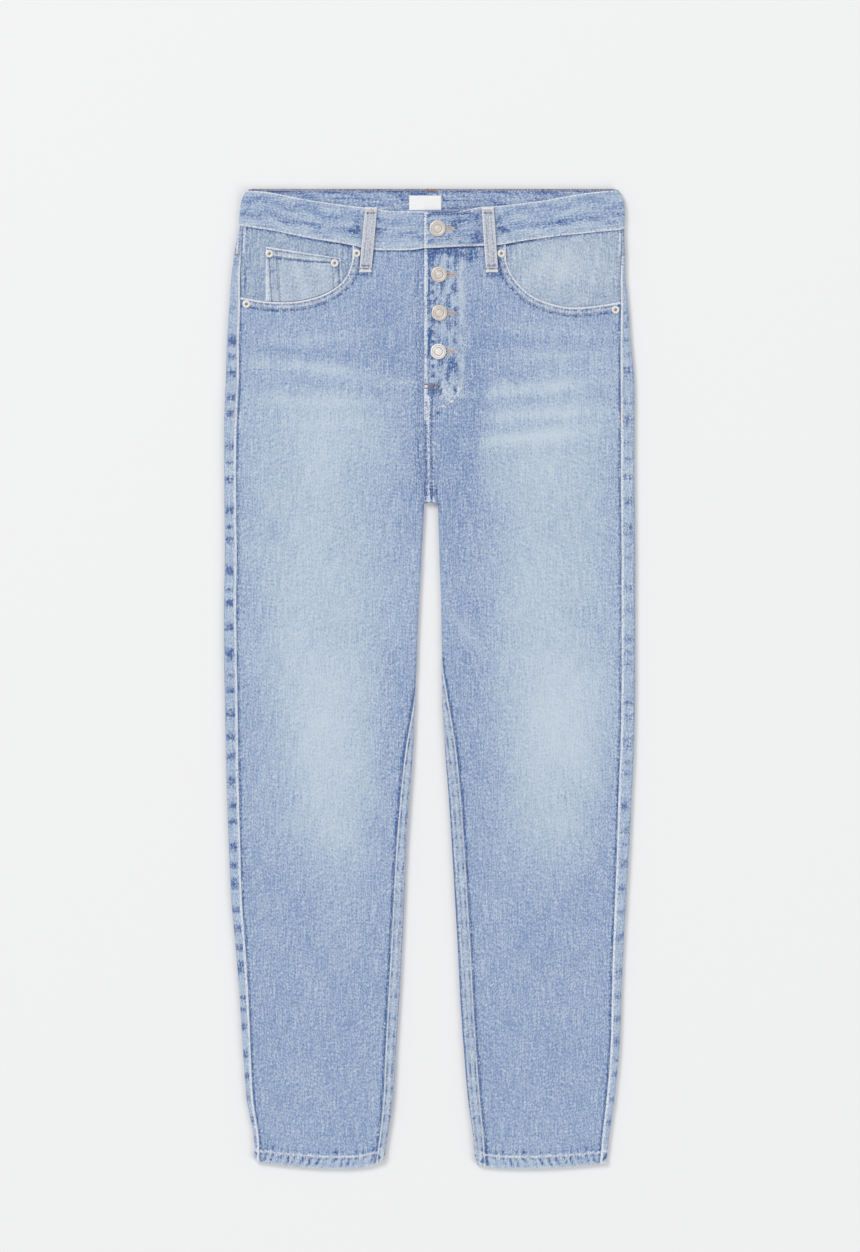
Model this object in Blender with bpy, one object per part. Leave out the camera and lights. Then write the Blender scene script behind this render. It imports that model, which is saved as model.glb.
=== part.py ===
"""Boyfriend jeans laid flat on their back, front side up, at real size.

The laid garment is a flattened tube for each leg and one for the seat. Every panel is a closed wall
that follows that tube: "out" is the distance from the centre line towards the side, "height" the
distance above the hem. Both are in millimetres here; the finished meshes are in metres.
Right and left are the wearer's, so the right leg lies on the -X side.
"""

import math

import bmesh
import bpy
import numpy as np
from mathutils import Vector
from mathutils.bvhtree import BVHTree

MM = 0.001

# Cloth and stack sizes
DENIM = 1.2
HEM_FOLD = 2.3
HEM_HEIGHT = 12.6
BAND_WALL = 2.2
FACING_WALL = 1.0
STAND_WALL = 1.4
LOOP_WALL = 1.6
SEAM_GAP = 0.15
CLEAR = 0.35

# Height of the laid garment: folded edges, hips, legs and hems
FOLD_RADIUS = 3.1
HALF_BEND = FOLD_RADIUS * math.pi / 2 - FOLD_RADIUS
BAND_FOLD_RADIUS = 3.5
SEAT_HEIGHT = 6.2
LEG_HEIGHT = 4.7
HEM_STACK = 5.8
FLY_HEIGHT = {"right": 4.9, "left": 6.6}
POCKET_LIFT = 1.5
LOOP_LIFT = 1.9

# How far the cloth takes to ease from its flat height into a fold, the fly and the lifted seat
EDGE_EASE = 24.0
FLY_EASE = 54.0
BACK_EASE = 14.0
SEAT_FROM, SEAT_RUN = 716.0, 32.0
WAIST_FROM, WAIST_RUN = 950.0, 30.0

# Landmarks above the hem
CROTCH = 718.2
HIP_LINE = 905.0
BACK_SEAM = 1015.5
BACK_TOP = 1056.6
YOKE_AT_CENTRE = 946.0
YOKE_AT_SIDE = 975.0
FLY_END = 832.0

# Where each front and back ends at the centre, measured outwards
FRONT_CENTRE = {"right": 2.7, "left": -5.9}
BACK_CENTRE = {"right": -1.6, "left": 1.6}
POCKET_START = {"right": 83.2, "left": 82.0}
SIGN = {"right": -1.0, "left": 1.0}

DENIM_BLUE = (0.40, 0.53, 0.72)
DENIM_PALE = (0.52, 0.62, 0.75)
DENIM_DEEP = (0.34, 0.46, 0.66)
LOOP_GREY = (0.58, 0.62, 0.69)
BUTTON_METAL = (0.78, 0.74, 0.70)
RIVET_METAL = (0.80, 0.79, 0.77)
LABEL_WHITE = (0.90, 0.90, 0.89)


def table(columns, rows):
    """Named columns of a short table."""
    return dict(zip(columns.split(), np.array(rows, float).T))


# Folded outer edges: how far out each lies, and how far round the cloth its side seam is from it
OUTER_FOLDS = table(
    "height right_edge right_seam left_edge left_seam",
    [
        (0, 188.5, 7.0, 191.0, 9.2),
        (30, 189.8, 7.5, 193.9, 9.7),
        (73, 197.1, 9.0, 199.3, 10.6),
        (127, 201.4, 10.5, 204.7, 11.6),
        (181, 204.7, 11.5, 206.8, 12.3),
        (235, 209.0, 12.6, 209.0, 13.2),
        (289, 214.0, 13.6, 212.2, 14.2),
        (343, 216.5, 14.4, 215.5, 15.4),
        (397, 218.5, 15.0, 217.9, 16.3),
        (451, 220.0, 15.4, 220.6, 16.8),
        (505, 221.0, 15.8, 221.7, 16.8),
        (559, 221.9, 15.8, 221.9, 16.8),
        (613, 221.9, 15.4, 221.9, 16.8),
        (667, 221.0, 15.0, 221.9, 16.8),
        (721, 221.5, 14.8, 221.4, 16.8),
        (765, 221.9, 15.2, 221.2, 16.8),
        (808, 221.7, 15.8, 221.2, 16.8),
        (851, 220.0, 16.3, 220.8, 16.6),
        (894, 218.6, 15.0, 217.0, 13.0),
        (937, 215.6, 13.3, 213.8, 9.4),
        (959, 214.2, 11.6, 211.6, 7.6),
        (987, 210.8, 9.6, 211.0, 5.6),
        (1013, 206.3, 6.6, 210.2, 4.4),
        (1032, 204.5, 6.0, 210.4, 4.4),
        (1045, 202.5, 6.0, 209.0, 4.4),
        (1057, 197.3, 6.0, 203.6, 4.4),
    ],
)

# Folded inner edges of the legs; a negative seam distance is turned to the underside
INNER_FOLDS = table(
    "height right_edge right_seam left_edge left_seam",
    [
        (0, 48.8, 10.8, 49.5, 12.8),
        (30, 44.8, 11.0, 47.2, 13.3),
        (73, 39.6, 12.2, 41.8, 14.6),
        (127, 36.2, 13.2, 37.0, 15.4),
        (181, 32.9, 13.8, 33.2, 15.8),
        (235, 30.0, 13.7, 30.6, 15.7),
        (289, 27.5, 13.3, 27.5, 15.5),
        (343, 25.2, 12.7, 24.4, 15.3),
        (397, 21.9, 11.8, 20.9, 15.1),
        (451, 18.2, 9.6, 16.8, 13.8),
        (505, 15.7, 2.5, 14.0, 8.0),
        (559, 13.5, -5.5, 13.3, -0.8),
        (613, 11.3, -11.5, 12.4, -8.0),
        (667, 8.3, -9.5, 10.5, -9.5),
        (700, 6.6, -3.5, 9.6, -3.5),
        (718, 5.9, 0.0, 9.2, 0.0),
    ],
)

# The waistband's lower seam and upper edge across each front
WAIST = {
    "right": table(
        "out seam top",
        [
            (-31, 995.0, 1030.2),
            (-5, 993.2, 1031.6),
            (6, 992.8, 1032.4),
            (14, 991.4, 1032.6),
            (42, 990.4, 1033.2),
            (57, 990.6, 1035.0),
            (71, 992.8, 1036.9),
            (86, 996.2, 1038.6),
            (105, 999.6, 1041.1),
            (129, 1003.3, 1044.6),
            (150, 1007.6, 1048.6),
            (172, 1012.0, 1053.0),
            (206, 1016.6, 1055.6),
        ],
    ),
    "left": table(
        "out seam top",
        [
            (-6, 992.4, 1031.3),
            (35, 994.4, 1033.2),
            (56, 995.1, 1037.2),
            (72, 995.8, 1038.2),
            (96, 999.7, 1040.9),
            (123, 1003.8, 1044.4),
            (156, 1007.4, 1050.4),
            (186, 1010.6, 1054.2),
            (211, 1012.6, 1055.9),
        ],
    ),
}

# The scooped pocket openings, from the waist seam round to the side seam
POCKET_SCOOP = {
    "right": table(
        "out height",
        [
            (83.2, 996.0),
            (83.6, 980.0),
            (92.0, 959.2),
            (113.0, 943.8),
            (143.0, 935.6),
            (176.0, 935.4),
            (204.0, 940.0),
        ],
    ),
    "left": table(
        "out height",
        [
            (82.0, 997.6),
            (83.0, 978.0),
            (93.0, 957.8),
            (114.0, 939.6),
            (147.0, 929.4),
            (177.0, 930.4),
            (206.0, 935.0),
        ],
    ),
}

# Broad soft folds of the laid cloth, as ridges (+) and troughs (-) between two points
FOLDS = table(
    "side out_a height_a out_b height_b width rise",
    [
        (-1, 184, 884, 20, 902, 13, 0.45),
        (-1, 178, 842, 24, 852, 14, 0.40),
        (1, 36, 848, 190, 856, 13, 0.45),
        (1, 40, 786, 188, 778, 15, 0.40),
        (-1, 120, 690, 112, 440, 34, 0.90),
        (1, 116, 690, 118, 450, 34, 0.90),
        (1, 22, 598, 54, 556, 9, -0.55),
        (-1, 48, 420, 190, 396, 20, 0.55),
        (1, 46, 404, 186, 430, 20, 0.55),
        (-1, 150, 330, 92, 90, 26, 0.70),
        (1, 96, 330, 150, 100, 26, 0.70),
    ],
)

# Heights of the panels' rows below the hip line; the legs' rows serve front and back alike
BODY_ROWS = (894, 872, 851, 830, 808, 786, 765, 743, 728, 718.9)
BACK_BODY_ROWS = (894, 851, 808, 765, 743, 728, 718.9)
THIGH_ROWS = (717.6, 704, 690, 667, 640, 613, 586, 559, 532, 505, 478, 451, 424, 397)
SHIN_ROWS = (343, 289, 235, 181, 127, 73, 30, 14.0, HEM_HEIGHT, 5, 0)
LEG_ROWS = THIGH_ROWS + SHIN_ROWS

# Where a row's spacing changes: near the centre on the front, at the seat and crotch on the back
CROTCH_SPLIT = 14.0
SEAT_SPLIT = 62.0
BACK_CROTCH_SPLIT = 16.0
FOLD_MARGIN = 9.0


def smooth(t):
    t = np.clip(t, 0.0, 1.0)
    return t * t * (3 - 2 * t)


def follow(points, values, at):
    """A smooth curve through a table's points."""
    slopes = np.gradient(values, points)
    at = np.clip(at, points[0], points[-1])
    i = np.clip(np.searchsorted(points, at) - 1, 0, len(points) - 2)
    step = points[i + 1] - points[i]
    t = (at - points[i]) / step
    ends = (1 + 2 * t) * (1 - t) ** 2 * values[i] + t * t * (3 - 2 * t) * values[i + 1]
    return ends + step * (t * (1 - t) ** 2 * slopes[i] + t * t * (t - 1) * slopes[i + 1])


def curve(points, shares):
    """Points at these shares of the length of a smooth curve through a table of (out, height)."""
    knots = np.arange(len(points["out"]), dtype=float)
    fine = np.linspace(0, knots[-1], 40 * len(knots))
    path = np.stack([follow(knots, points["out"], fine), follow(knots, points["height"], fine)], axis=1)
    length = np.concatenate([[0], np.cumsum(np.linalg.norm(np.diff(path, axis=0), axis=1))])
    at = np.asarray(shares) * length[-1]
    return np.stack([np.interp(at, length, path[:, 0]), np.interp(at, length, path[:, 1])], axis=1)


def outer_edge(side, height):
    return follow(OUTER_FOLDS["height"], OUTER_FOLDS[side + "_edge"], height)


def side_seam(side, height):
    return follow(OUTER_FOLDS["height"], OUTER_FOLDS[side + "_seam"], height)


def inner_edge(side, height):
    return follow(INNER_FOLDS["height"], INNER_FOLDS[side + "_edge"], height)


def inside_seam(side, height):
    return follow(INNER_FOLDS["height"], INNER_FOLDS[side + "_seam"], height)


def fold_relief(side, out, height):
    """Rise of the broad soft folds at a point of the front."""
    rise = np.zeros_like(out)
    for i, sign in enumerate(FOLDS["side"]):
        if sign != SIGN[side]:
            continue
        a = np.array([FOLDS["out_a"][i], FOLDS["height_a"][i]])
        run = np.array([FOLDS["out_b"][i], FOLDS["height_b"][i]]) - a
        share = ((out - a[0]) * run[0] + (height - a[1]) * run[1]) / (run @ run)
        near = np.clip(share, 0, 1)
        away = np.hypot(out - a[0] - near * run[0], height - a[1] - near * run[1])
        across = np.exp(-((away / FOLDS["width"][i]) ** 2))
        rise = rise + FOLDS["rise"][i] * across * np.sin(np.pi * (0.1 + 0.8 * near))
    return rise


def front_surface(side, out, height):
    """Height of the front's outside above the floor."""
    levels = [HEM_STACK, HEM_STACK, LEG_HEIGHT, LEG_HEIGHT, SEAT_HEIGHT]
    base = np.interp(height, [0, 14, 45, 690, 745], levels)
    in_leg = height < CROTCH
    from_outer = 1 - smooth((outer_edge(side, height) - out - FOLD_RADIUS) / EDGE_EASE)
    from_inner = 1 - smooth((out - inner_edge(side, height) - FOLD_RADIUS) / EDGE_EASE)
    from_inner = np.where(in_leg, from_inner, 0)
    from_fly = np.where(in_leg, 0, 1 - smooth((out - FRONT_CENTRE[side] - 6) / FLY_EASE))
    edge = np.maximum(from_outer, from_inner)
    surface = base + fold_relief(side, out, height) * (1 - edge) * (1 - from_fly)
    surface = surface + (FLY_HEIGHT[side] - surface) * from_fly
    return surface + (2 * FOLD_RADIUS - surface) * edge


def back_surface(side, out, height):
    """Height of the back's outside above the floor, where pockets and loops lie under it."""
    from_fold = smooth((outer_edge(side, height) - FOLD_RADIUS - out) / BACK_EASE)
    seat = POCKET_LIFT * smooth((height - SEAT_FROM) / SEAT_RUN)
    waist = (LOOP_LIFT - POCKET_LIFT) * smooth((height - WAIST_FROM) / WAIST_RUN)
    return (seat + waist) * from_fold


def on_tube(
    side, along, height, from_back=False, lift=0.0, in_leg=False, radius=FOLD_RADIUS, surfaces=None
):
    """Points on the flattened tube. "along" is out where the cloth lies flat and runs on round each
    folded edge. It is counted on the front, or on the back with from_back. lift is outwards."""
    along, height, lift = np.broadcast_arrays(np.asarray(along, float), height, lift)
    outer = outer_edge(side, height) - radius
    beyond_outer = along - outer
    if in_leg:
        inner = inner_edge(side, height) + radius
        beyond_inner = inner - along
    else:
        inner = np.full_like(along, -1e3)
        beyond_inner = np.full_like(along, -1.0)
    turn = np.clip(np.maximum(beyond_outer, beyond_inner) / radius, 0, math.pi)
    past = np.maximum(np.maximum(beyond_outer, beyond_inner) - math.pi * radius, 0)
    side_of = np.where(beyond_outer > 0, 1.0, -1.0)
    root = np.where(beyond_outer > 0, outer, np.where(beyond_inner > 0, inner, along))
    out = root + side_of * (radius * np.sin(turn) - past) * (turn > 0)
    face = -1.0 if from_back else 1.0
    rise = radius * (1 + face * np.cos(turn))
    on_start = turn <= 0
    on_far = turn >= math.pi
    front, back = surfaces or (front_surface, back_surface)
    flat_front = on_far if from_back else on_start
    flat_back = on_start if from_back else on_far
    rise = np.where(flat_front, front(side, out, height), rise)
    rise = np.where(flat_back, back(side, out, height), rise)
    normal_out = side_of * np.sin(turn)
    normal_up = face * np.cos(turn)
    return np.stack([SIGN[side] * (out + lift * normal_out), height, rise + lift * normal_up], axis=-1)


def front_start(side, height):
    """Where the front begins at the side seam, counted along the front."""
    return outer_edge(side, height) + HALF_BEND - side_seam(side, height) - SEAM_GAP


def back_start(side, height):
    """Where the back begins at the side seam, counted along the back and round the edge."""
    return outer_edge(side, height) + HALF_BEND + side_seam(side, height) - SEAM_GAP


def front_end(side, height):
    """Where the front ends at the inside seam, counted along the front."""
    return inner_edge(side, height) - HALF_BEND + inside_seam(side, height) + SEAM_GAP


def back_end(side, height):
    """Where the back ends at the inside seam, counted along the back."""
    return inner_edge(side, height) - HALF_BEND - inside_seam(side, height) + SEAM_GAP


def hem_bow(side, out, height):
    """The hem's lower edge dips a little between its two corners."""
    outer_rise, inner_rise = {"right": (7.6, 10.0), "left": (6.0, 4.6)}[side]
    share = (out - inner_edge(side, 0)) / (outer_edge(side, 0) - inner_edge(side, 0))
    low = 0.34
    outer_part = outer_rise * np.clip((share - low) / (1 - low), 0, 1.05) ** 2
    inner_part = inner_rise * np.clip((low - share) / low, 0, 1.05) ** 3
    return (outer_part + inner_part) * (1 - smooth((height - 4) / 70))


def round_fold(tangent, end):
    """Places from where a fold begins to the end of the cloth beyond it, close together on the bend."""
    reach = end - tangent
    bend = math.copysign(math.pi * FOLD_RADIUS, reach)
    if abs(reach) > abs(bend) + 1.5:
        return tangent + np.concatenate([np.linspace(0, bend, 5), [(bend + reach) / 2, reach]])
    return np.linspace(tangent, end, 7)


def spread(start, split, end, first, second):
    """Places across a row: so many steps from start to split, and so many on to the end."""
    return np.concatenate([np.linspace(start, split, first + 1), np.linspace(split, end, second + 1)[1:]])


def wall(name, outer, inner, colour, roughness=0.85, metallic=0.0):
    """One closed wall between two grids of points, as an object."""
    rows, columns = outer.shape[:2]
    points = np.concatenate([outer.reshape(-1, 3), inner.reshape(-1, 3)]) * MM
    index = np.arange(rows * columns).reshape(rows, columns)
    below = index + rows * columns
    faces = []
    for r in range(rows - 1):
        for c in range(columns - 1):
            faces.append((index[r, c], index[r, c + 1], index[r + 1, c + 1], index[r + 1, c]))
            faces.append((below[r, c], below[r + 1, c], below[r + 1, c + 1], below[r, c + 1]))
    rim = [*index[0, :-1], *index[:-1, -1], *index[-1, :0:-1], *index[:0:-1, 0]]
    for a, b in zip(rim, rim[1:] + rim[:1]):
        faces.append((a, a + rows * columns, b + rows * columns, b))
    mesh = bpy.data.meshes.new(name)
    mesh.from_pydata([tuple(p) for p in points], [], [tuple(int(i) for i in f) for f in faces])
    return finish(name, mesh, colour, roughness, metallic)


def finish(name, mesh, colour, roughness, metallic, smooth_angle=40):
    """Makes the object of a mesh, with its faces out, its shading and its own material."""
    shaped = bmesh.new()
    shaped.from_mesh(mesh)
    bmesh.ops.recalc_face_normals(shaped, faces=shaped.faces)
    shaped.to_mesh(mesh)
    shaped.free()
    mesh.shade_smooth()
    mesh.set_sharp_from_angle(angle=math.radians(smooth_angle))
    material = bpy.data.materials.new(name)
    material.use_nodes = True
    shader = material.node_tree.nodes["Principled BSDF"]
    shader.inputs["Base Color"].default_value = (*colour, 1.0)
    shader.inputs["Roughness"].default_value = roughness
    shader.inputs["Metallic"].default_value = metallic
    mesh.materials.append(material)
    made = bpy.data.objects.new(name, mesh)
    bpy.context.scene.collection.objects.link(made)
    made.parent = LAID
    return made


def top_of(objects, x, y, reach=0.0):
    """The highest surface of these objects at a place, or round it within reach. All in millimetres."""
    highest = 0.0
    places = [(0.0, 0.0)]
    if reach:
        places += [(reach * math.cos(a), reach * math.sin(a)) for a in np.linspace(0, 2 * math.pi, 9)[:-1]]
    for made in objects:
        if made.name not in TREES:
            TREES[made.name] = BVHTree.FromObject(made, bpy.context.evaluated_depsgraph_get())
        tree = TREES[made.name]
        for dx, dy in places:
            hit = tree.ray_cast(Vector(((x + dx) * MM, (y + dy) * MM, 1.0)), Vector((0, 0, -1)))
            if hit[0] is not None:
                highest = max(highest, hit[0].z / MM)
    return highest


def front_panel(side):
    """The front from its pocket opening and waist seam down to the hem."""
    scoop_steps, centre_steps = 11, 6
    centre = FRONT_CENTRE[side]
    scoop = curve(POCKET_SCOOP[side], np.linspace(1, 0, scoop_steps + 1))
    scoop[0, 0] = front_start(side, scoop[0, 1])
    seam_out = np.linspace(POCKET_START[side], centre, centre_steps + 1)[1:]
    seam = follow(WAIST[side]["out"], WAIST[side]["seam"], seam_out) - SEAM_GAP
    top_along = np.concatenate([scoop[:, 0], seam_out])
    top_height = np.concatenate([scoop[:, 1], seam])
    top_height[scoop_steps] = follow(WAIST[side]["out"], WAIST[side]["seam"], POCKET_START[side]) - SEAM_GAP
    hip = spread(front_start(side, HIP_LINE), POCKET_START[side], centre, scoop_steps, centre_steps)
    rows = []
    for share in (0, 0.16, 0.4, 0.7, 1.0):
        along = top_along + share * (hip - top_along)
        height = top_height + share * (HIP_LINE - top_height)
        along[0] = front_start(side, height[0])
        rows.append((along, height, False))
    for height in BODY_ROWS:
        down = smooth((HIP_LINE - height) / (HIP_LINE - CROTCH))
        split = POCKET_START[side] + (CROTCH_SPLIT - POCKET_START[side]) * down
        along = spread(front_start(side, height), split, centre, scoop_steps, centre_steps)
        rows.append((along, height, False))
    for height in LEG_ROWS:
        end = front_end(side, height)
        split = max(inner_edge(side, height) + FOLD_RADIUS, end + FOLD_MARGIN)
        flat = np.linspace(front_start(side, height), split, scoop_steps + 1)
        rows.append((np.concatenate([flat, round_fold(split, end)[1:]]), height, True))
    return panel("front_" + side, side, rows, False)


def back_panel(side):
    """The back from the yoke seam down to the hem, with its share that wraps to the front."""
    middle_steps = 7
    centre = BACK_CENTRE[side] + SEAM_GAP
    rows = []

    def across(height, split, end):
        turn = outer_edge(side, height) - FOLD_RADIUS
        over_fold = round_fold(turn, back_start(side, height))[::-1]
        middle = np.linspace(turn, split, middle_steps + 1)[1:]
        return np.concatenate([over_fold, middle, round_fold(split, end)[1:]])

    for share in (0, 0.35, 0.7):
        at_side = YOKE_AT_SIDE - SEAM_GAP + share * (BACK_BODY_ROWS[0] - YOKE_AT_SIDE + SEAM_GAP)
        along = across(at_side, SEAT_SPLIT, centre)
        seam = yoke_seam(side, along) - SEAM_GAP
        rows.append((along, seam + share * (BACK_BODY_ROWS[0] - seam), False))
    for height in BACK_BODY_ROWS:
        down = smooth((HIP_LINE - height) / (HIP_LINE - CROTCH))
        split = SEAT_SPLIT + (BACK_CROTCH_SPLIT - SEAT_SPLIT) * down
        rows.append((across(height, split, centre), height, False))
    for height in LEG_ROWS:
        end = back_end(side, height)
        split = max(inner_edge(side, height) + FOLD_RADIUS, end + FOLD_MARGIN)
        rows.append((across(height, split, end), height, True))
    return panel("back_" + side, side, rows, True)


def yoke_seam(side, along):
    """The seam between yoke and back, lower at the centre than at the side."""
    share = np.clip(np.abs(along) / (outer_edge(side, YOKE_AT_SIDE) - FOLD_RADIUS), 0, 1)
    return YOKE_AT_CENTRE + (YOKE_AT_SIDE - YOKE_AT_CENTRE) * share


def waist_seam_on_back(side, along):
    """The waistband's lower seam along the back and round the fold to the front."""
    turn = outer_edge(side, BACK_SEAM) - FOLD_RADIUS
    bend = math.pi * FOLD_RADIUS
    out = np.where(along > turn + bend, 2 * turn + bend - along, turn + FOLD_RADIUS)
    front = follow(WAIST[side]["out"], WAIST[side]["seam"], out)
    return BACK_SEAM + (front - BACK_SEAM) * smooth((along - turn) / bend)


def panel(name, side, rows, from_back):
    """A leg panel through its rows of (along, height, whether the row is below the crotch)."""
    outer, inner = [], []
    for along, height, in_leg in rows:
        height = np.broadcast_to(np.asarray(height, float), along.shape)
        thick = np.where(height <= HEM_HEIGHT, HEM_FOLD, DENIM)
        for grid, lift in ((outer, 0.0), (inner, -thick)):
            points = on_tube(side, along, height, from_back, lift, in_leg)
            if in_leg:
                points[:, 1] += hem_bow(side, np.abs(points[:, 0]), height)
            grid.append(points)
    return wall(name, np.array(outer), np.array(inner), DENIM_BLUE)


def yoke(side):
    """The yoke from the waist seam to the back's seam, wrapped round the side like the back."""
    outer, inner = [], []
    for share in np.linspace(0, 1, 5):
        height = np.array([BACK_SEAM + share * (YOKE_AT_SIDE - BACK_SEAM)])
        for _ in range(3):
            turn = outer_edge(side, height[0]) - FOLD_RADIUS
            to_centre = np.linspace(0.3 * turn, BACK_CENTRE[side] + SEAM_GAP, 4)[1:]
            over_fold = round_fold(turn, back_start(side, height[0]))[::-1]
            along = np.concatenate([over_fold, np.linspace(turn, 0.3 * turn, 7)[1:], to_centre])
            top = waist_seam_on_back(side, along) - SEAM_GAP
            low = yoke_seam(side, along) + SEAM_GAP
            height = top + share * (low - top)
        outer.append(on_tube(side, along, height, True))
        inner.append(on_tube(side, along, height, True, -DENIM))
    return wall("yoke_" + side, np.array(outer), np.array(inner), DENIM_BLUE)


def pocket_facing(side):
    """The denim that shows inside a pocket opening, tucked under the front."""
    tuck, first = 11.0, POCKET_START[side] - 8
    shares = np.linspace(0, 1, 12)
    scoop = curve(POCKET_SCOOP[side], shares)
    run = np.gradient(scoop, axis=0)
    away = np.stack([run[:, 1], -run[:, 0]], axis=1) / np.linalg.norm(run, axis=1)[:, None]
    low = scoop + away * tuck * np.clip(0.55 + 2 * shares, 0, 1)[:, None]
    low[0] = (first, scoop[0, 1] - 6)
    top_out = first + shares * (front_start(side, 1010) - first)
    top = follow(WAIST[side]["out"], WAIST[side]["seam"], top_out) - SEAM_GAP
    low[-1, 0] = front_start(side, low[-1, 1])
    outer, inner = [], []
    for share in np.linspace(0, 1, 6):
        height = top + share * (low[:, 1] - top)
        along = top_out + share * (low[:, 0] - top_out)
        along[-1] = front_start(side, height[-1])
        sunk = SEAM_GAP + (DENIM + CLEAR) * smooth((share - 0.15) / 0.55)
        sunk = np.where(shares < 0.3, DENIM + CLEAR, sunk)
        outer.append(on_tube(side, along, height, lift=-sunk))
        inner.append(on_tube(side, along, height, lift=-sunk - FACING_WALL))
    return wall("pocket_facing_" + side, np.array(outer), np.array(inner), DENIM_PALE)


def coin_pocket(facing):
    """The small pocket on the right facing, down to the edge of the opening."""
    top_corner, far_corner = np.array([176.6, 994.7]), np.array([96.0, 981.9])
    shares = np.linspace(0, 1, 9)
    top = top_corner + shares[:, None] * (far_corner - top_corner)
    low = curve(POCKET_SCOOP["right"], 0.80 - 0.535 * shares)
    low = low + np.array([0.45, 0.75])
    low[0, 0] = top_corner[0] + 0.4
    outer, inner = [], []
    for share in np.linspace(0, 1, 6):
        row = top + share * (low - top)
        rise = np.array([top_of([facing], -out, height) for out, height in row])
        for grid, lift in ((outer, CLEAR + FACING_WALL), (inner, CLEAR)):
            grid.append(np.stack([-row[:, 0], row[:, 1], rise + lift], axis=1))
    return wall("coin_pocket", np.array(outer), np.array(inner), DENIM_PALE)


def button_stand():
    """The right front's buttoning strip, under the left front's fly edge."""
    near, low_far, far, corner, top = -2.4, 14.4, 33.5, 26.0, 991.9
    outer, inner = [], []
    for height in np.linspace(FLY_END, top, 9):
        down = max(0.0, (FLY_END + corner - height) / corner)
        x = np.linspace(near, low_far + (far - low_far) * math.sqrt(1 - down**2), 4)
        surface = front_surface("left", x, np.full_like(x, height)) - DENIM - CLEAR
        outer.append(np.stack([x, np.full_like(x, height), surface], axis=1))
        inner.append(np.stack([x, np.full_like(x, height), surface - STAND_WALL], axis=1))
    return wall("button_stand", np.array(outer), np.array(inner), DENIM_DEEP)


# How high the waistband's outside lies across each front; the left end laps over the right one
BAND_HEIGHT = {
    "right": table("out rise", [(-31, 6.8), (20, 6.8), (60, 7.0), (210, 7.0)]),
    "left": table("out rise", [(-6, 9.4), (36, 9.4), (62, 8.2), (90, 7.2), (120, 7.0), (215, 7.0)]),
}


def band_front(side, out, height):
    return np.interp(out, BAND_HEIGHT[side]["out"], BAND_HEIGHT[side]["rise"])


def band_point(side, part, share, level, lift, end):
    """A point of the waistband, by its part of the way round and its level between seam and edge."""
    bend = math.pi * BAND_FOLD_RADIUS
    wrapped = {"front": 1.0, "fold": smooth(share), "back": 0.0}[part]
    height = BACK_SEAM + level * (BACK_TOP - BACK_SEAM)
    for _ in range(3):
        turn = outer_edge(side, height) - BAND_FOLD_RADIUS
        out = turn + share * (end - turn) if part == "front" else turn + BAND_FOLD_RADIUS
        seam = follow(WAIST[side]["out"], WAIST[side]["seam"], out) + SEAM_GAP
        top = follow(WAIST[side]["out"], WAIST[side]["top"], out)
        low = BACK_SEAM + SEAM_GAP + wrapped * (seam - BACK_SEAM - SEAM_GAP)
        high = BACK_TOP + wrapped * (top - BACK_TOP)
        height = low + level * (high - low)
    turn = outer_edge(side, height) - BAND_FOLD_RADIUS
    along = {"front": turn + bend + turn - out, "fold": turn + share * bend, "back": share * turn}[part]
    surfaces = (band_front, back_surface)
    return on_tube(side, np.array([along]), height, True, lift, False, BAND_FOLD_RADIUS, surfaces)[0]


def waistband():
    """One doubled strip from the right front's end, round the back, to the left front's end."""
    front_steps, fold_steps, back_steps = 14, 6, 9
    ends = {"right": -30.8, "left": -5.9}
    columns = []
    for side in ("right", "left"):
        half = [("front", share) for share in np.linspace(1, 0, front_steps + 1)]
        half += [("fold", share) for share in np.linspace(1, 0, fold_steps + 1)[1:]]
        half += [("back", share) for share in np.linspace(1, 0, back_steps + 1)[1:]]
        if side == "left":
            half = half[-2::-1]
        columns += [(side, *place) for place in half]
    outer, inner = [], []
    for level in np.linspace(0, 1, 4):
        for grid, lift in ((outer, 0.0), (inner, -BAND_WALL)):
            row = []
            for side, part, share in columns:
                row.append(band_point(side, part, share, level, lift, ends[side]))
            grid.append(row)
    return wall("waistband", np.array(outer), np.array(inner), DENIM_BLUE)


# Front loops: top and bottom of each one's centre line
FRONT_LOOPS = table("side out_top out_low", [(-1, 62.9, 69.4), (1, 62.5, 67.4)])
LOOP_TOP, LOOP_LOW, LOOP_WIDTH = 1037.4, 966.8, 13.2
BACK_LOOP_LOW = 988.0
LOOP_SPRING = table(
    "share rise",
    [
        (0, 0.0),
        (0.1, 0.1),
        (0.3, 1.0),
        (0.52, 1.1),
        (0.66, 0.9),
        (0.85, 0.2),
        (1, 0.0),
    ],
)


def front_loop(row, under):
    """A belt loop sewn over the band, standing off it a little between its two ends."""
    side = "left" if FRONT_LOOPS["side"][row] > 0 else "right"
    out_top, out_low = FRONT_LOOPS["out_top"][row], FRONT_LOOPS["out_low"][row]
    outer, inner = [], []
    for share in np.linspace(0, 1, 13):
        y = LOOP_TOP + share * (LOOP_LOW - LOOP_TOP)
        out = out_top + share * (out_low - out_top)
        rise = top_of(under, SIGN[side] * out, y, LOOP_WIDTH / 2) + CLEAR
        rise += np.interp(share, LOOP_SPRING["share"], LOOP_SPRING["rise"])
        x = SIGN[side] * out + np.array([-0.5, 0.0, 0.5]) * LOOP_WIDTH
        crown = np.array([0.0, 0.2, 0.0])
        for grid, lift in ((outer, LOOP_WALL), (inner, 0.0)):
            grid.append(np.stack([x, np.full(3, y), rise + lift + crown], axis=1))
    return wall("belt_loop_front_" + side, np.array(outer), np.array(inner), LOOP_GREY)


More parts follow.
